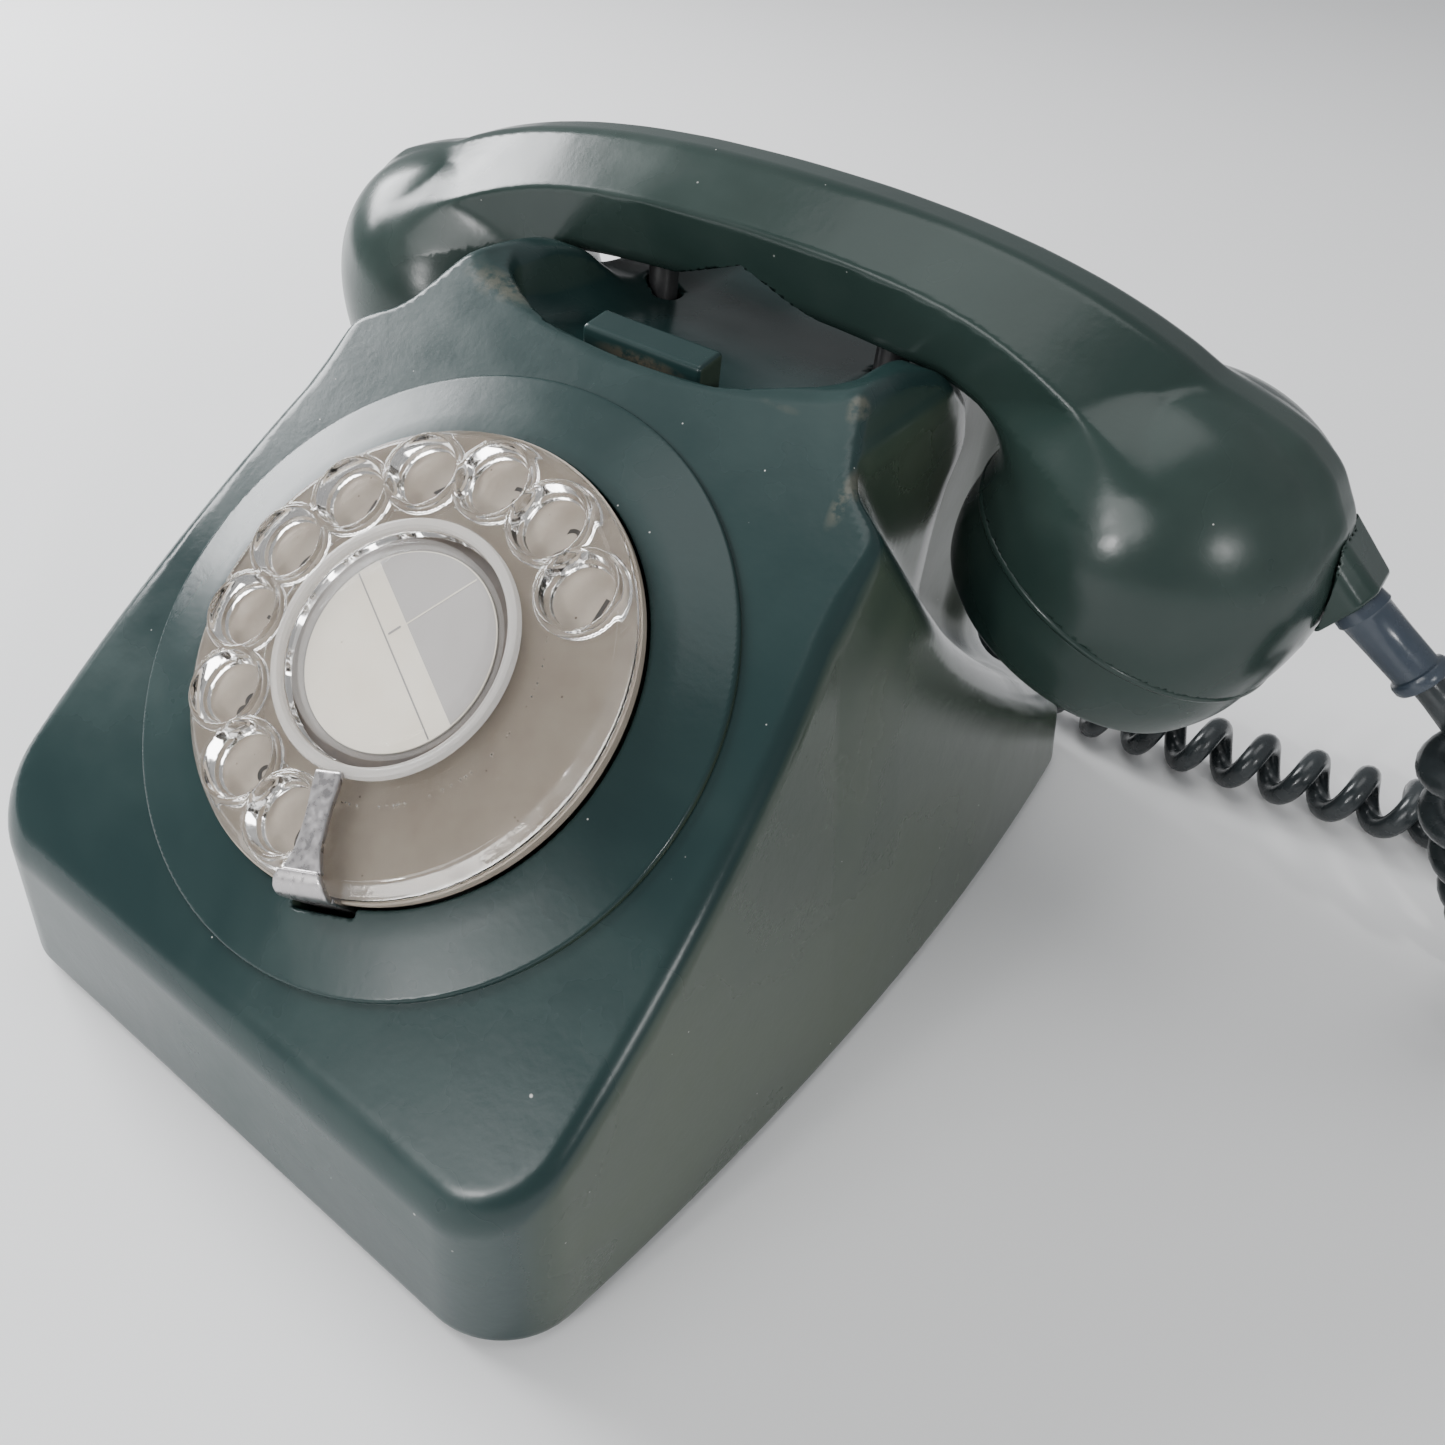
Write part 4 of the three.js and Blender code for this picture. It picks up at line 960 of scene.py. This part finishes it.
def dome_line(lift):
    """Heights of the dome's outline from the side, from its top outwards, a little above it."""
    points = []
    for degrees in (82, 75, 68, 60, 52, 45, 38, 32):
        a = math.radians(degrees)
        out = (CUP_RADIUS + lift) * math.cos(a) ** (2 / CUP_POWER)
        up = (CUP_HEIGHT + lift) * math.sin(a) ** (2 / CUP_POWER)
        points.append((CUP_X + out * math.cos(CUP_TILT) + up * math.sin(CUP_TILT),
                       CUP_Z - out * math.sin(CUP_TILT) + up * math.cos(CUP_TILT)))
    return points


RIDGE_LINE = smooth_line(
    [(-1, handle_top(0))] + [(x, handle_top(x)) for x in (0, 15, 30, 44, 56, 66, 74, 81)]
    + dome_line(0.9)[:3] + dome_line(0.5)[3:5] + dome_line(0)[5:6] + dome_line(-1)[6:] + [(109, 76), (111, 70)]
)
DEPTH_LINE = smooth_line([(-1, 21.5), (40, 21.5), (52, 23), (62, 25.5), (72, 24), (84, 12), (92, 6), (130, 5)])


def on_cup(across, z):
    """Distance out from a cup's axis in its plane of symmetry, and up from its seam."""
    dx, dz = across - CUP_X, z - CUP_Z
    out = dx * math.cos(CUP_TILT) - dz * math.sin(CUP_TILT)
    return out, dx * math.sin(CUP_TILT) + dz * math.cos(CUP_TILT)


def cup_shape(out, y, up):
    """Distance from the cup's dome, with a plain wall below its seam."""
    r = np.hypot(out, y)
    high = np.maximum(up, 0) / CUP_HEIGHT
    return (((r / CUP_RADIUS) ** CUP_POWER + high**CUP_POWER) ** (1 / CUP_POWER) - 1) * CUP_RADIUS


def handset_shape(x, y, z):
    """Handle and cups as one solid, hollow in the cups. y is from the handset's own middle."""
    across, aside = np.abs(x), np.abs(y)
    slope = RIDGE_LINE(across + 0.5) - RIDGE_LINE(across - 0.5)
    down = z - RIDGE_LINE(across)
    spread = 0.5 * (across - 46 + np.sqrt((across - 46) ** 2 + 120))
    shoulder = 0.586 * (aside - 4) + 0.81 * down / np.sqrt(1 + 0.5 * slope**2)
    handle = cut(down / np.sqrt(1 + slope**2), shoulder, 0.9)
    handle = cut(handle, 0.987 * (aside - 14.5 - 0.2 * spread) - 0.159 * (down + 7.6), 0.8)
    deep = DEPTH_LINE(across)
    handle = cut(handle, 0.504 * (aside - 12.6 - 0.2 * spread) - 0.863 * (down + deep - 2.1), 1.5)
    handle = cut(handle, -down - deep, 1.5)
    out, up = on_cup(across, z)
    r = np.hypot(out, y)
    cup = cut(cup_shape(out, y, up), 0.1 - up, 0.4)
    handle = np.maximum(np.maximum(handle, 3 - up), np.where(out > 0, r - 27, -27))  # it ends inside the cup
    fillet = 0.8 + 9 * np.clip((RIDGE_LINE(across) - z - 4) / 16, 0, 1)
    body = join(handle, cup, fillet)
    hollow = cut(cut(r - 26.6, up - 27, 4), (r - 26.6 + (up - 10) * 0.95) / 1.38, 4)
    return cut(body, -hollow, 0.5)


def boss_shape(x, y, z):
    """A square block with its upper front edge cut off, round the start of the cord's sleeve."""
    dx, dz = x - BOSS[0], z - BOSS[1]
    along = dx * math.cos(BOSS_TILT) - dz * math.sin(BOSS_TILT) + 0.8
    high = dx * math.sin(BOSS_TILT) + dz * math.cos(BOSS_TILT)
    block = cut(cut(y - 5.6, -5.6 - y, 1) + 0.1 * along, np.abs(high + 0.4) - 5.2 + 0.16 * along, 1)
    block = cut(block, (high - y) * 0.707 - 5.4 + 0.2 * along, 0.8)
    block = cut(cut(block, along, 0.8), -12 - along, 0.5)
    out, up = on_cup(x, z)
    return cut(cut(block, 11 - up, 0.3), 0.3 - cup_shape(out, y, up), 0.1)


def make_handset(materials):
    at = shift(0, HANDSET_Y, 0)
    step = 0.9
    body = surface("handset_skin", handset_shape, (-112, -32, 66), (112, 32, 130), step, at,
                   materials["handset_green"])
    place(body, "handset", "handset_green", "handset_body")
    boss = surface("cord_boss", boss_shape, (94, -8, 78), (116, 8, 106), 0.45, at, materials["handset_green"])
    place(boss, "handset", "handset_green", "cord_entry_boss")

    for name, side, holes in (("ear", -1, 5), ("mouth", 1, 7)):
        def cap(x, y, z, holes=holes):
            r = np.hypot(x, y)
            outer = cut(r - 29.35 - 0.02 * z, z + 0.15, 0.45)
            outer = cut(outer, (r - 29.2 - (z + 11) * 0.7) / 1.22, 3.5)
            outer = cut(outer, -CAP_DEPTH - z, 2.5)
            dish = cut(r - 18, z + CAP_DEPTH - 2.4 + 0.005 * r**2, 1.5)
            outer = cut(outer, -dish, 1)
            inner = cut(cut(r - 26.5, -11 - z, 2), (r - 26.5 - (z + 6) * 0.7) / 1.22, 2)
            shape = cut(outer, -inner, 0.4)
            for i in range(holes):
                a = 2 * math.pi * i / holes
                hole_x, hole_y = CAP_HOLE_CIRCLE * math.cos(a), CAP_HOLE_CIRCLE * math.sin(a)
                shape = cut(shape, 1.7 - np.hypot(x - hole_x, y - hole_y), 0.3)
            return shape

        where = shift(side * CUP_X, HANDSET_Y, CUP_Z)
        where = where @ Matrix.Rotation(side * CUP_TILT, 4, "Y")
        piece = surface(f"{name}_cap_skin", cap, (-30, -30, -16), (30, 30, 0), 0.75,
                        where, materials["handset_green"], ((), (), ((-1.5, 0.7, 0.4),)))
        place(piece, "handset", "handset_green", f"{name}_cap")
        bead = lathe(f"{name}_seam", [
            (27, -0.6), (29.45, -0.6), (29.68, -0.3), (29.74, 0.05), (29.66, 0.4), (29.4, 0.7), (27, 0.7),
            (27, -0.6),
        ], where, materials["handset_green"], 160, 60)
        place(bead, "handset", "handset_green")
    return boss


# ---------------------------------------------------------------- small parts that show
def make_small_parts(materials):
    for where, x, y in FEET:
        foot = lathe(f"foot_pad_{where}", [
            (0, 0.5), (2.4, 0.5), (2.6, 0.1), (3.2, 0), (6, 0), (6.6, 0.25), (6.95, 0.9), (7, 2.2), (0, 2.2),
        ], shift(x, y, 0), materials["foot_rubber"], 48)
        place(foot, "base", "foot_rubber", f"foot_{where}")
    for where, side in (("left", -1), ("right", 1)):
        plunger = lathe(f"plunger_pin_{where}", [
            (0, 85.4), (3, 85.4), (3, 86.6), (4.6, 86.6), (4.6, 88.2), (3, 88.2), (3, 104.1), (2.75, 104.7),
            (2.2, 105), (0, 105.1),
        ], shift(side * PLUNGER_X, HANDSET_Y, 0), materials["black_plastic"], 48)
        place(plunger, "plungers", "black_plastic", f"cradle_plunger_{where}")


def paint_cad_parts(materials):
    """Every CAD node takes the finish of its slot in the record."""
    slots = {s["node"]: s["material_slot"] for s in frame["record"]["subparts"]}
    for name, node in frame["nodes"].items():
        node.data.materials.clear()
        node.data.materials.append(materials[slots[name]])


# ---------------------------------------------------------------- floor and light
def make_stage():
    n = Nodes("floor")
    n.colour(n.mix(n.noise(3, 2), (0.9, 0.9, 0.9), (0.88, 0.88, 0.88)))
    n.set(Roughness=0.9)
    points = [(-3, -3, 0), (3, -3, 0), (3, 3, 0), (-3, 3, 0)]
    floor = new_object("floor", points, [(0, 1, 2, 3)], n.material)

    world = bpy.data.worlds.new("studio")
    world.use_nodes = True
    sky = world.node_tree.nodes["Background"]
    sky.inputs["Color"].default_value = (0.95, 0.97, 1, 1)
    sky.inputs["Strength"].default_value = 0.44
    bpy.context.scene.world = world

    def light(name, position, target, size, power, tint=(1, 1, 1)):
        data = bpy.data.lights.new(name, "AREA")
        data.shape = "RECTANGLE"
        data.size, data.size_y = size
        data.energy = power
        data.color = tint
        lamp = bpy.data.objects.new(name, data)
        lamp.location = position
        lamp.rotation_euler = (Vector(target) - Vector(position)).to_track_quat("-Z", "Y").to_euler()
        bpy.context.scene.collection.objects.link(lamp)

    light("window", (-1.1, -0.05, 0.66), (0, 0, 0.06), (0.7, 0.5), 26, (0.97, 0.98, 1))
    light("ceiling", (-0.25, 0.1, 1.9), (0, 0, 0), (1.4, 1.0), 9)
    light("front", (-0.3, -1.5, 0.9), (0, 0, 0.05), (0.9, 0.5), 8)
    light("lamp_one", (-0.12, -0.8, 0.31), (0.05, 0, 0.08), (0.07, 0.05), 1.5)
    light("lamp_two", (0.72, -0.38, 0.41), (0.05, 0, 0.08), (0.07, 0.05), 1.5)


make_camera()
finishes = make_materials()
cord, cord_line, cord_length = make_cord(finishes)
sleeve, grommet = make_cord_fittings(finishes)
make_case(finishes)
make_dial(finishes)
boss = make_handset(finishes)
make_small_parts(finishes)
paint_cad_parts(finishes)
make_stage()
